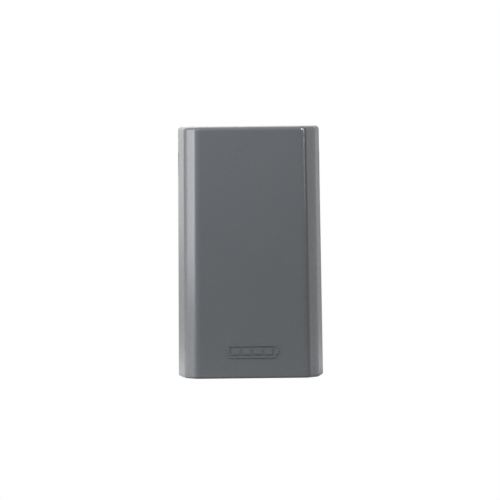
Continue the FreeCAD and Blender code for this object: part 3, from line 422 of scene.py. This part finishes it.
def curve_through(points, steps=8):
    """Smooth path through scene points."""
    padded = [2 * points[0] - points[1]] + points + [2 * points[-1] - points[-2]]
    path = []
    for first, start, end, last in zip(padded, padded[1:], padded[2:], padded[3:]):
        for step in range(steps):
            part = step / steps
            path.append(0.5 * (2 * start + (end - first) * part
                               + (2 * first - 5 * start + 4 * end - last) * part ** 2
                               + (3 * start - first - 3 * end + last) * part ** 3))
    return path + [points[-1]]


def bar(bm, left, right, inner, outer, low, high, edge=0.15):
    """Bar with rounded edges."""
    size = Vector((right - left, outer - inner, high - low)) * MM
    place = Matrix.Translation(at((left + right) / 2, (inner + outer) / 2, (low + high) / 2))
    made = bmesh.ops.create_cube(bm, size=1, matrix=place @ Matrix.Diagonal(size).to_4x4())
    edges = {line for vert in made["verts"] for line in vert.link_edges}
    bmesh.ops.bevel(bm, geom=list(edges), offset=edge * MM, segments=2, affect="EDGES", profile=0.5)


def pierced(bm, centre, axis, outlines, *holes):
    """Solid through a list of (height, outline), with straight holes from its first height to its last."""
    def ring(height, loop):
        return [bm.verts.new(centre + AXIS[axis] @ Vector((x, y, height)) * MM) for x, y in loop]

    low, high = outlines[0][0], outlines[-1][0]
    walls = [[ring(height, loop) for height, loop in outlines]]
    walls += [[ring(low, hole), ring(high, hole)] for hole in holes]
    for rings in walls:
        bridge(bm, rings)
    for end in (0, -1):
        rims = []
        for rings in walls:
            rim = rings[end]
            rims += [bm.edges.get(pair) for pair in zip(rim, rim[1:] + rim[:1])]
        bmesh.ops.triangle_fill(bm, edges=rims, use_beauty=True)


def slab(bm, solid, thin, pinch=0.3, corner=0.06):
    """Soft sheet that fills a solid's box: pinched at its rim, round at its corners, faintly dimpled."""
    centre = at(solid.x, solid.out, solid.z)
    half = Vector((solid.wide, solid.deep, solid.tall)) * MM / 2
    counts = [26, 26, 26]
    counts[thin] = 4
    flat = [axis for axis in range(3) if axis != thin]
    made = {}

    def point(place):
        if place in made:
            return made[place]
        unit = [2 * place[axis] / counts[axis] - 1 for axis in range(3)]
        one, two = (unit[axis] for axis in flat)
        rim = max(abs(one), abs(two))
        dimple = 0.02 * (1 + math.sin(7 * one + 3) * math.cos(6 * two))
        unit[thin] *= 1 - pinch * rim ** 16 - dimple
        inset = 1 - corner * (one * two) ** 8
        for axis in flat:
            unit[axis] *= inset * (1 - 0.01 * unit[thin] ** 2)
        made[place] = bm.verts.new(centre + Vector([unit[axis] * half[axis] for axis in range(3)]))
        return made[place]

    for normal in range(3):
        first, second = (axis for axis in range(3) if axis != normal)
        for level in (0, counts[normal]):
            for one in range(counts[first]):
                for two in range(counts[second]):
                    face = []
                    for step_one, step_two in ((0, 0), (1, 0), (1, 1), (0, 1)):
                        place = [0, 0, 0]
                        place[normal] = level
                        place[first] = one + step_one
                        place[second] = two + step_two
                        face.append(point(tuple(place)))
                    bm.faces.new(face)


def piece(name, material, body, build, *stands_for):
    """Named piece from a mesh-building function, on its body and with its material slot."""
    bm = bmesh.new()
    build(bm)
    bmesh.ops.recalc_face_normals(bm, faces=bm.faces)
    mesh = bpy.data.meshes.new(name)
    bm.to_mesh(mesh)
    bm.free()
    mesh.shade_smooth()
    mesh.set_sharp_from_angle(angle=SHARP_ANGLE)
    mesh.materials.append(MATERIALS[material])
    item = bpy.data.objects.new(name, mesh)
    scene.collection.objects.link(item)
    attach(item, body)
    if stands_for:
        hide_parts(*stands_for)
    return item


# ---- rubber, foam and cable ----------------------------------------------------------------

def wall_feet(bm):
    """Rubber feet: two rings and a groove on the face that meets the wall, a waisted side."""
    for pad in solids("wall_pads"):
        edge = pad.wide / 2 - 0.05
        height = pad.deep
        waist = 0.92 * edge
        rings = [(0, 0.5), (0.3 * edge, 0.45), (0.34 * edge, 0.9), (0.44 * edge, 0.9), (0.48 * edge, 0.2),
                 (0.66 * edge, 0.1), (0.7 * edge, 0.7), (0.8 * edge, 0.7), (0.84 * edge, 0.2),
                 (0.93 * edge, 0.3), (edge, 1.0)]
        side = [(edge, 0.65 * height), (waist, 0.72 * height), (waist, 0.8 * height),
                (edge, 0.87 * height), (edge, height), (0, height)]
        turned(bm, at(pad.x, pad.inner, pad.z), "out", rings + side)


def gasket(bm):
    """Twin-bead gasket laid on the rim of the tub."""
    seal = extent("case_seal")
    inset, corner = 0.72, 2.2
    centres = ((seal.right - corner, seal.high - corner), (seal.left + corner, seal.high - corner),
               (seal.left + corner, seal.low + corner), (seal.right - corner, seal.low + corner))
    path = []
    for quarter, (x, z) in enumerate(centres):
        for step in range(9):
            turn = TURN * (quarter + step / 8) / 4
            reach = corner - inset
            path.append(at(x + reach * math.cos(turn), seal.out, z + reach * math.sin(turn)))
    half_wide = 0.62
    half_deep = seal.deep / 2 - 0.02
    section = []
    for across, up in circle(1, 20):
        section.append((half_wide * across, half_deep * up * (1 - 0.35 * up ** 8)))
    sweep(bm, path, section, closed=True)


def cable_grommets(bm):
    """Lipped rubber rings in the cable plate, with a sealing lip inside each bore."""
    for ring in solids("cable_grommets"):
        flange = ring.wide / 2 - 0.02
        bore, neck = 0.68 * flange, 0.82 * flange
        outside = [(bore, 0.1), (flange - 0.35, 0.0), (flange, 0.3), (flange, 1.1), (neck, 1.22),
                   (neck, 3.88), (flange, 4.0), (flange, 4.7), (flange - 0.5, 5.08), (bore + 0.15, 5.1)]
        inside = [(bore, 4.6), (bore + 0.25, 3.6), (bore + 0.25, 3.0), (bore - 0.5, 2.65),
                  (bore - 0.5, 2.4), (bore + 0.25, 2.1), (bore + 0.25, 1.2)]
        turned(bm, at(ring.x, ring.out, ring.low), "up", outside + inside, 40)


def wire_grommets(bm):
    """Rubber plugs in the roof of the bay: a waist between two lips, and two wire holes."""
    for plug in solids("wire_grommets"):
        lip = plug.wide / 2 - 0.03
        waist = 0.76 * lip
        profile = [(0, lip - 0.4), (0.3, lip), (1.15, lip), (1.15, waist),
                   (4.45, waist), (4.45, lip), (5.3, lip), (5.6, lip - 0.4)]
        outlines = [(height, circle(radius, 36)) for height, radius in profile]
        holes = [circle(1.3, 20, side) for side in (-2, 2)]
        pierced(bm, at(plug.x, plug.out, plug.low), "up", outlines, *holes)


def wires(node):
    """Insulated wires with a slight wander between their ends."""
    def build(bm):
        roof = extent("wire_grommets")
        inset, spans, wander = 0.6, 12, 0.22
        for wire in solids(node):
            points = []
            for step in range(spans + 1):
                z = wire.low + inset + (wire.tall - 2 * inset) * step / spans
                clear_of_roof = min(1, max(0, (abs(z - roof.z) - roof.tall / 2) / 2))
                free = clear_of_roof * min(1, (z - wire.low) / 2)
                sway = wander * free * math.sin(0.9 * z + wire.x)
                points.append(at(wire.x + sway, wire.out + 0.6 * sway, z))
            sweep(bm, curve_through(points, 4), circle(wire.wide / 2 - 0.1, 14))
    return build


def ferrules(bm):
    """Crimped sleeves on both ends of each wire."""
    for node in ("output_wires", "control_wires"):
        for wire in solids(node):
            outer = wire.wide / 2 + 0.05
            bore = outer - 0.14
            profile = [(bore, 0), (outer - 0.08, 0), (outer, 0.1), (outer, 0.9), (outer - 0.1, 1.1),
                       (outer, 1.3), (outer, 2.0), (outer - 0.08, 2.1), (bore, 2.1)]
            for end, way in ((wire.low, 1), (wire.high, -1)):
                loop = [(radius, way * rise) for radius, rise in profile]
                turned(bm, at(wire.x, wire.out, end), "up", loop, 20)


LEADS = {"lead_negative": -1, "lead_positive": 1}
LEAD_RADIUS = 1.45


def end_post(side):
    """Nut on the pack's first or last post."""
    return solids("terminal_nuts")[0 if side < 0 else -1]


def lead(node):
    """Sheathed cable from the end cell's lug down beside the pack to the side of the board's terminal."""
    def build(bm):
        side, box, block = LEADS[node], extent(node), extent("board_terminals")
        inset = LEAD_RADIUS + 0.05
        edge = max(abs(box.left), abs(box.right)) - inset
        top = box.high - inset
        foot = box.low + inset
        start = abs(end_post(side).x) + 5.4
        corners = [(start, top), (edge - 7, top), (edge - 3.2, top - 0.6), (edge - 0.8, top - 2.9),
                   (edge - 0.1, top - 7), (edge, 0.7 * top), (edge - 0.25, 0.4 * top),
                   (edge, 0.1 * top), (edge - 0.1, foot + 5), (edge - 1.4, foot + 1.6),
                   (edge - 4.2, foot), (block.right + 0.2, foot)]
        path = curve_through([at(side * x, box.out, z) for x, z in corners])
        sweep(bm, path, circle(LEAD_RADIUS, 16))
    return build


def lead_lugs(bm):
    """Ring lugs on the end posts, each with a crimped barrel on its cable."""
    plate = extent("busbars").low
    outline = circle(4.4, 32)
    profile = [(1.5, 0), (1.85, 0), (1.98, 0.15), (1.98, 1.1), (1.7, 1.4), (1.98, 1.7), (1.98, 2.9),
               (1.85, 3.05), (1.5, 3.05)]
    for node, side in LEADS.items():
        box, post = extent(node), end_post(side)
        barrel = abs(post.x) + 5.0
        pierced(bm, at(post.x, box.out, plate), "up", [(0, outline), (1.25, outline)], circle(2.15))
        near, far = sorted((side * (abs(post.x) + 3.7), side * (barrel + 1)))
        bar(bm, near, far, box.out - 2, box.out + 2, plate, plate + 1.2, 0.25)
        loop = [(radius, side * reach) for radius, reach in profile]
        turned(bm, at(side * barrel, box.out, box.high - 1.5), "right", loop, 24)


# ---- board ---------------------------------------------------------------------------------

def choke_core(bm):
    """Coated ring core with a rounded square section."""
    ring = extent("board_inductor")
    tube = ring.deep / 2
    half = tube - 0.85
    section = []
    for across, up in circle(1, 24):
        section.append((ring.wide / 2 - tube + half * math.copysign(abs(across) ** 0.6, across),
                        half * math.copysign(abs(up) ** 0.6, up)))
    turned(bm, at(ring.x, ring.out, ring.z), "out", section, 48)


def choke_winding(bm):
    """One layer of enamelled wire round the core."""
    ring = extent("board_inductor")
    tube, wire = ring.deep / 2, 0.38
    turns, steps = 26, 16
    path = []
    for step in range(turns * steps):
        round_ring = TURN * step / (turns * steps)
        round_core = TURN * step / steps
        radius = ring.wide / 2 - tube + (tube - wire) * math.cos(round_core)
        out = ring.out + (tube - wire) * math.sin(round_core)
        path.append(at(ring.x + radius * math.cos(round_ring), out, ring.z + radius * math.sin(round_ring)))
    sweep(bm, path, circle(wire, 8), closed=True)


def chip_legs(bm):
    """Bent legs along the upper and lower edges of each chip."""
    board = extent("bms_board").outer
    pitch, half_leg = 1.27, 0.2
    bends = ((0.6, 0.8, 0.02, 0.7), (0.06, 0.75, 0.55, 0.75), (0.05, 0.22, 0.6, 1.4))
    for chip in solids("board_chips"):
        count = int(chip.wide / pitch)
        for step in range(count):
            x = chip.left + chip.wide * (step + 0.5) / count
            for edge, way in ((chip.low, -1), (chip.high, 1)):
                for inner, outer, near, far in bends:
                    low, high = sorted((edge + way * near, edge + way * far))
                    bar(bm, x - half_leg, x + half_leg, board + inner, board + outer, low, high, 0.04)


def leg_places():
    """Middle of each transistor leg and the height of the body's top edge."""
    return [(body.left + body.wide * share, body.high) for body in solids("board_transistors")
            for share in (0.22, 0.5, 0.78)]


def power_legs(bm):
    """Three flat legs bent down to the board from each transistor."""
    board = extent("bms_board").outer
    half_leg = 0.4
    for x, edge in leg_places():
        left, right = x - half_leg, x + half_leg
        bar(bm, left, right, board + 1.8, board + 2.3, edge, edge + 1.2, 0.08)
        bar(bm, left, right, board + 0.1, board + 2.25, edge + 0.9, edge + 1.3, 0.08)


def solder(bm):
    """Solder cones round the legs and tinned tracks on the face of the board."""
    board = extent("bms_board").outer
    cone = [(0, 0.02), (1.0, 0.02), (0.75, 0.18), (0.5, 0.6), (0, 0.7)]
    for x, edge in leg_places():
        turned(bm, at(x, board, edge + 1.1), "out", cone, 16)
    for chip in solids("board_chips"):
        for step in range(4):
            z = chip.low + chip.tall * (step + 0.5) / 4
            bar(bm, chip.left - 2.6, chip.left - 0.3, board + 0.01, board + 0.06, z - 0.2, z + 0.2, 0.02)
    for block in solids("board_terminals"):
        for share in (0.25, 0.75):
            x = block.left + block.wide * share
            bar(bm, x - 1.4, x + 1.4, board + 0.01, board + 0.09, block.high + 0.3, block.high + 3.5, 0.03)


def slotted(bm, x, out, z, radius, proud):
    """Round screw head with a slot across it, facing out."""
    slot_half, steps = 0.3, 14
    turned(bm, at(x, out, z), "out", [(0, 0), (radius, 0), (radius, 0.3 * proud), (0, 0.3 * proud)], 28)
    turns = [math.pi * step / steps for step in range(steps + 1)]
    for side in (-1, 1):
        half = [(radius * math.cos(turn), side * max(slot_half, radius * math.sin(turn))) for turn in turns]
        pierced(bm, at(x, out, z), "out", [(0.25 * proud, half), (proud, half)])


def terminal_screws(bm):
    """Two clamp screws in each power terminal of the board."""
    for block in solids("board_terminals"):
        for share in (0.25, 0.75):
            slotted(bm, block.left + block.wide * share, block.outer + 0.02, block.z, 2.2, 0.5)


def capacitor_tops(bm):
    """Aluminium tops with a cross-shaped vent, ringed by the shrunk sleeve."""
    for can in solids("board_capacitors"):
        edge = 0.8 * can.wide / 2
        top = can.outer
        disc = [(0, 0.02), (0.9 * edge, 0.02), (edge, 0.14), (edge + 0.15, 0.1), (edge + 0.2, 0.0), (0, 0.0)]
        turned(bm, at(can.x, top, can.z), "out", disc, 32)
        long, thin = 1.3 * edge / 2, 0.15
        for wide, tall in ((long, thin), (thin, long)):
            bar(bm, can.x - wide, can.x + wide, top + 0.02, top + 0.16, can.z - tall, can.z + tall, 0.05)


# ---- controls ------------------------------------------------------------------------------

def return_spring(bm):
    """Compression spring behind the test button, with closed end coils."""
    coil = extent("button_spring")
    wire = 0.26
    radius = coil.wide / 2 - wire
    turns, end_turns, steps = 5, 0.8, 28
    free = coil.deep - 2 * wire - 4 * end_turns * wire
    path = []
    for step in range(turns * steps + 1):
        wound = step / steps
        open_part = min(1, max(0, (wound - end_turns) / (turns - 2 * end_turns)))
        closed = 2 * wire * (min(end_turns, wound) + max(0, wound - (turns - end_turns)))
        out = coil.inner + wire + closed + free * open_part
        turn = TURN * wound
        path.append(at(coil.x + radius * math.cos(turn), out, coil.z + radius * math.sin(turn)))
    sweep(bm, path, circle(wire, 10))


def stand(bm, node, x, z, build):
    """Build a detail round the origin, facing out, and stand it on the node's face in front of that spot."""
    mesh = nodes[node].data
    corners = [vert.co for vert in mesh.vertices]
    tree = BVHTree.FromPolygons(corners, [face.vertices for face in mesh.polygons])
    well_in_front = 300
    point, normal = tree.ray_cast(at(x, well_in_front, z), Vector((0, 1, 0)))[:2]
    side = Vector((0, 0, 1)).cross(-normal).normalized()
    turn = Matrix((side, -normal, side.cross(-normal))).transposed().to_4x4()
    detail = bmesh.new()
    build(detail)
    detail.transform(Matrix.Translation(point) @ turn)
    kept = bpy.data.meshes.new("detail")
    detail.to_mesh(kept)
    detail.free()
    bm.from_mesh(kept)
    bpy.data.meshes.remove(kept)


def off_ring(bm):
    turned(bm, Vector(), "out", [(0.85, -0.05), (0.9, 0.16), (1.35, 0.16), (1.4, -0.05)], 32)


def on_bar(bm):
    bar(bm, -0.25, 0.25, -0.05, 0.16, -1.4, 1.4, 0.06)


def rocker_marks(bm):
    """Bar and ring, for on and off, raised on the two slopes of the rocker."""
    rocker = extent("switch_rocker")
    stand(bm, "switch_rocker", rocker.left + 0.22 * rocker.wide, rocker.z, on_bar)
    stand(bm, "switch_rocker", rocker.left + 0.78 * rocker.wide, rocker.z, off_ring)


def ridge(bm):
    bar(bm, -2.4, 2.4, -0.1, 0.3, -0.3, 0.3, 0.12)


def lever_ridges(node):
    """Cross ridges for the fingertip near the free end of a terminal lever."""
    def build(bm):
        lever = extent(node)
        for step in range(4):
            stand(bm, node, lever.x, lever.low + 2.6 + 1.35 * step, ridge)
    return build


def test_points(bm):
    """Ringed test contact on the face of each way of the terminal block, under its lever."""
    level = extent("terminal_block").low + 5
    for way in solids("cable_grommets"):
        stand(bm, "terminal_block", way.x, level, test_ring)


def test_ring(bm):
    turned(bm, Vector(), "out", [(1.1, -0.05), (1.15, 0.2), (1.35, 0.28), (1.55, 0.2), (1.6, -0.05)], 32)
    turned(bm, Vector(), "out", [(0, -0.05), (0.8, -0.05), (0.75, 0.08), (0, 0.14)], 24)


def level_marks(bm):
    """Level marks under the status lamps, each longer than the one before."""
    panel, lens = extent("control_panel"), extent("status_lens")
    for index, lamp_body in enumerate(solids("status_lamps")):
        top = lens.low - 1.2
        bar(bm, lamp_body.x - 0.45, lamp_body.x + 0.45, panel.outer - 0.05, panel.outer + 0.3,
            top - 0.9 - 0.5 * index, top, 0.1)


def minus(bm):
    bar(bm, -1.4, 1.4, -0.1, 0.4, -0.35, 0.35, 0.12)


def plus(bm):
    minus(bm)
    bar(bm, -0.35, 0.35, -0.1, 0.4, -1.4, 1.4, 0.12)


def pole_marks(bm):
    """Raised plus and minus signs on the foot of the lid, one over each way of the terminal block."""
    level = extent("case_lid").low + 3
    for index, way in enumerate(solids("cable_grommets")):
        stand(bm, "case_lid", way.x, level, minus if index % 2 else plus)


def add_pieces():
    piece("wall_feet", "rubber", "case", wall_feet, "wall_pads")
    piece("gasket", "seal", "case", gasket, "case_seal")
    for node, material, thin in (("cell_base_pad", "foam", 2), ("cell_front_pad", "foam", 1),
                                 ("cell_rear_pad", "film", 1)):
        piece(node + "_sheet", material, "case", lambda bm: slab(bm, extent(node), thin), node)
    for node in ("output_wires", "control_wires"):
        piece(node + "_sheathed", "wire", "case", wires(node), node)
    piece("wire_ferrules", "busbar", "case", ferrules)
    piece("cable_rings", "rubber", "case", cable_grommets, "cable_grommets")
    piece("wire_plugs", "rubber", "case", wire_grommets, "wire_grommets")
    piece("negative_cable", "lead_black", "case", lead("lead_negative"), "lead_negative")
    piece("positive_cable", "lead_red", "case", lead("lead_positive"), "lead_positive")
    piece("lead_lugs", "busbar", "case", lead_lugs)
    piece("choke_core", "vent", "case", choke_core, "board_inductor")
    piece("choke_winding", "coil", "case", choke_winding)
    piece("chip_legs", "busbar", "case", chip_legs)
    piece("power_legs", "busbar", "case", power_legs)
    piece("solder", "busbar", "case", solder)
    piece("terminal_screws", "screw", "case", terminal_screws)
    piece("capacitor_tops", "sink", "case", capacitor_tops)
    piece("rocker_marks", "plug", "rocker", rocker_marks)
    for number in range(1, 5):
        node = "terminal_lever_%d" % number
        piece(node + "_ridges", "lever", "lever_%d" % number, lever_ridges(node))
    piece("test_points", "clamp_metal", "case", test_points)
    piece("level_marks", "plug", "case", level_marks)
    piece("pole_marks", "case", "case", pole_marks)
    spring = piece("return_spring", "spring", "case", return_spring, "button_spring")
    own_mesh(spring)


# ---- stage ---------------------------------------------------------------------------------

def stage():
    """Pale floor, plain white to the camera but dark in front of the unit for the light it bounces, as
    painted shade; close under the unit it glows, and from below it is clear.
    """
    span, gap = 6, 0.0005
    glow_strength, near, far = 0.5, 0.003, 0.006
    low = cad_box[0].z - gap
    corners = [(-span, -span, low), (span, -span, low), (span, span, low), (-span, span, low)]
    mesh = bpy.data.meshes.new("floor")
    mesh.from_pydata(corners, [], [(0, 1, 2, 3)])
    floor = bpy.data.objects.new("floor", mesh)
    scene.collection.objects.link(floor)
    shader = Shader("pale_floor", 0.9)
    split = shader.add("ShaderNodeSeparateXYZ")
    shader.link(shader.place, split.inputs["Vector"])
    tone = shader.mix(shader.noise(3), (0.8, 0.8, 0.8, 1), (0.84, 0.84, 0.84, 1))
    # Dark in front of the unit so less light bounces up onto its lower front: painted shade; camera rays
    # still see plain white.
    painted_shade_in_front = shader.ramp(split.outputs["Y"], 1, 0, -0.25, 0.1)
    shader.colour(shader.mix(painted_shade_in_front, tone, (0.2, 0.2, 0.2, 1)))
    path = shader.add("ShaderNodeLightPath")
    side = shader.add("ShaderNodeNewGeometry")
    white = shader.add("ShaderNodeEmission")
    seen = shader.add("ShaderNodeMixShader")
    shader.link(side.outputs["Backfacing"], seen.inputs["Fac"])
    shader.link(white.outputs["Emission"], seen.inputs[1])
    shader.link(shader.add("ShaderNodeBsdfTransparent").outputs["BSDF"], seen.inputs[2])
    glow = shader.add("ShaderNodeEmission")
    glow.inputs["Strength"].default_value = glow_strength
    lit = shader.add("ShaderNodeMixShader")
    shader.link(shader.ramp(path.outputs["Ray Length"], 1, 0, near, far), lit.inputs["Fac"])
    shader.link(shader.surface.outputs["BSDF"], lit.inputs[1])
    shader.link(glow.outputs["Emission"], lit.inputs[2])
    mixer = shader.add("ShaderNodeMixShader")
    shader.link(path.outputs["Is Camera Ray"], mixer.inputs["Fac"])
    shader.link(lit.outputs["Shader"], mixer.inputs[1])
    shader.link(seen.outputs["Shader"], mixer.inputs[2])
    shader.link(mixer.outputs["Shader"], shader.tree.nodes["Material Output"].inputs["Surface"])
    mesh.materials.append(shader.material)


# Radiance of the tent around the unit: degrees to the left of straight behind it, strength.
TENT = [(-180, 0.2), (-150, 0.3), (-125, 0.38), (-108, 0.25), (-92, 0.07), (-72, 0.07), (-56, 0.85),
        (-47, 1.05), (-28, 0.45), (-8, 0.62), (0, 1.45), (6, 1.7), (12, 1.3), (25, 0.08), (36, 0.2),
        (48, 0.4), (90, 0.7), (130, 0.36), (180, 0.2)]
TENT_PEAK = 1.7


def surround():
    """White to the camera; to the object, a tent with bright and dark panels round it."""
    world = bpy.data.worlds.new("studio")
    scene.world = world
    world.use_nodes = True
    tree = world.node_tree
    tree.nodes.clear()
    add = tree.nodes.new
    out = add("ShaderNodeOutputWorld")
    seen = add("ShaderNodeBackground")
    seen.inputs["Color"].default_value = (1, 1, 1, 1)
    tent = add("ShaderNodeBackground")
    path = add("ShaderNodeLightPath")
    mixer = add("ShaderNodeMixShader")
    coord = add("ShaderNodeTexCoord")
    split = add("ShaderNodeSeparateXYZ")
    tree.links.new(coord.outputs["Generated"], split.inputs["Vector"])
    left = add("ShaderNodeMath")
    left.operation = "MULTIPLY"
    left.inputs[1].default_value = -1
    tree.links.new(split.outputs["X"], left.inputs[0])
    turn = add("ShaderNodeMath")
    turn.operation = "ARCTAN2"
    tree.links.new(left.outputs["Value"], turn.inputs[0])
    tree.links.new(split.outputs["Y"], turn.inputs[1])

    def spread(source, start, end, low, high):
        node = add("ShaderNodeMapRange")
        for key, number in (("From Min", start), ("From Max", end), ("To Min", low), ("To Max", high)):
            node.inputs[key].default_value = number
        tree.links.new(source, node.inputs["Value"])
        return node.outputs["Result"]

    bands = add("ShaderNodeValToRGB")
    bands.color_ramp.interpolation = "EASE"
    stops = bands.color_ramp.elements
    while len(stops) < len(TENT):
        stops.new(0.5)
    for stop, (degrees, strength) in zip(stops, TENT):
        stop.position = (degrees + 180) / 360
        stop.color = (strength / TENT_PEAK,) * 3 + (1,)
    tree.links.new(spread(turn.outputs["Value"], -math.pi, math.pi, 0, 1), bands.inputs["Fac"])
    tree.links.new(bands.outputs["Color"], tent.inputs["Color"])
    brighter_above = spread(split.outputs["Z"], -0.7, 0.8, 0.7 * TENT_PEAK, 1.25 * TENT_PEAK)
    tree.links.new(brighter_above, tent.inputs["Strength"])
    tree.links.new(path.outputs["Is Camera Ray"], mixer.inputs["Fac"])
    tree.links.new(tent.outputs["Background"], mixer.inputs[1])
    tree.links.new(seen.outputs["Background"], mixer.inputs[2])
    tree.links.new(mixer.outputs["Shader"], out.inputs["Surface"])


def lamp(name, place, aim, width, height, power):
    """Rectangular lamp at a place in metres, turned to its aim."""
    light = bpy.data.lights.new(name, "AREA")
    light.shape = "RECTANGLE"
    light.size = width
    light.size_y = height
    light.energy = power
    item = bpy.data.objects.new(name, light)
    item.location = place
    item.rotation_mode = "QUATERNION"
    item.rotation_quaternion = (Vector(aim) - Vector(place)).to_track_quat("-Z", "Y")
    scene.collection.objects.link(item)
    return item


def lights():
    """A soft key that leaves no glint, two strips that edge the facets, and a glint on one corner."""
    key = lamp("key", (-0.36, -0.5, 0.62), (0, -0.08, 0.06), 0.5, 0.5, 8.7)
    key.visible_glossy = False
    lamp("left_box", (-0.67, 0.145, 0.16), (-0.055, -0.07, 0.105), 0.58, 0.4, 2.8)
    lamp("right_box", (0.6, -0.33, 0.2), (0.05, -0.08, 0.2), 0.07, 0.24, 0.9)
    glint = lamp("glint", (0.48, -0.46, 0.46), (0.05, -0.08, 0.11), 0.045, 0.045, 9.0)
    glint.visible_diffuse = False


def camera():
    """Long lens, a little above the top of the unit and a degree to the left."""
    distance, swing, roll = 8.0, math.radians(0.9), math.radians(-0.6)
    front, level = -0.086, 0.178
    data = bpy.data.cameras.new("camera")
    data.sensor_width = 36
    data.lens = 636.2
    data.clip_start = 0.1
    data.clip_end = 50
    item = bpy.data.objects.new("camera", data)
    place = Vector((-math.sin(swing) * distance, front - distance, level))
    aim = Vector((-0.00096, front, 0.0024))
    item.location = place
    item.rotation_mode = "QUATERNION"
    upright = (aim - place).to_track_quat("-Z", "Y")
    item.rotation_quaternion = upright @ Matrix.Rotation(roll, 4, "Z").to_quaternion()
    scene.collection.objects.link(item)
    scene.camera = item


dress_nodes()
add_pieces()
stage()
surround()
lights()
camera()
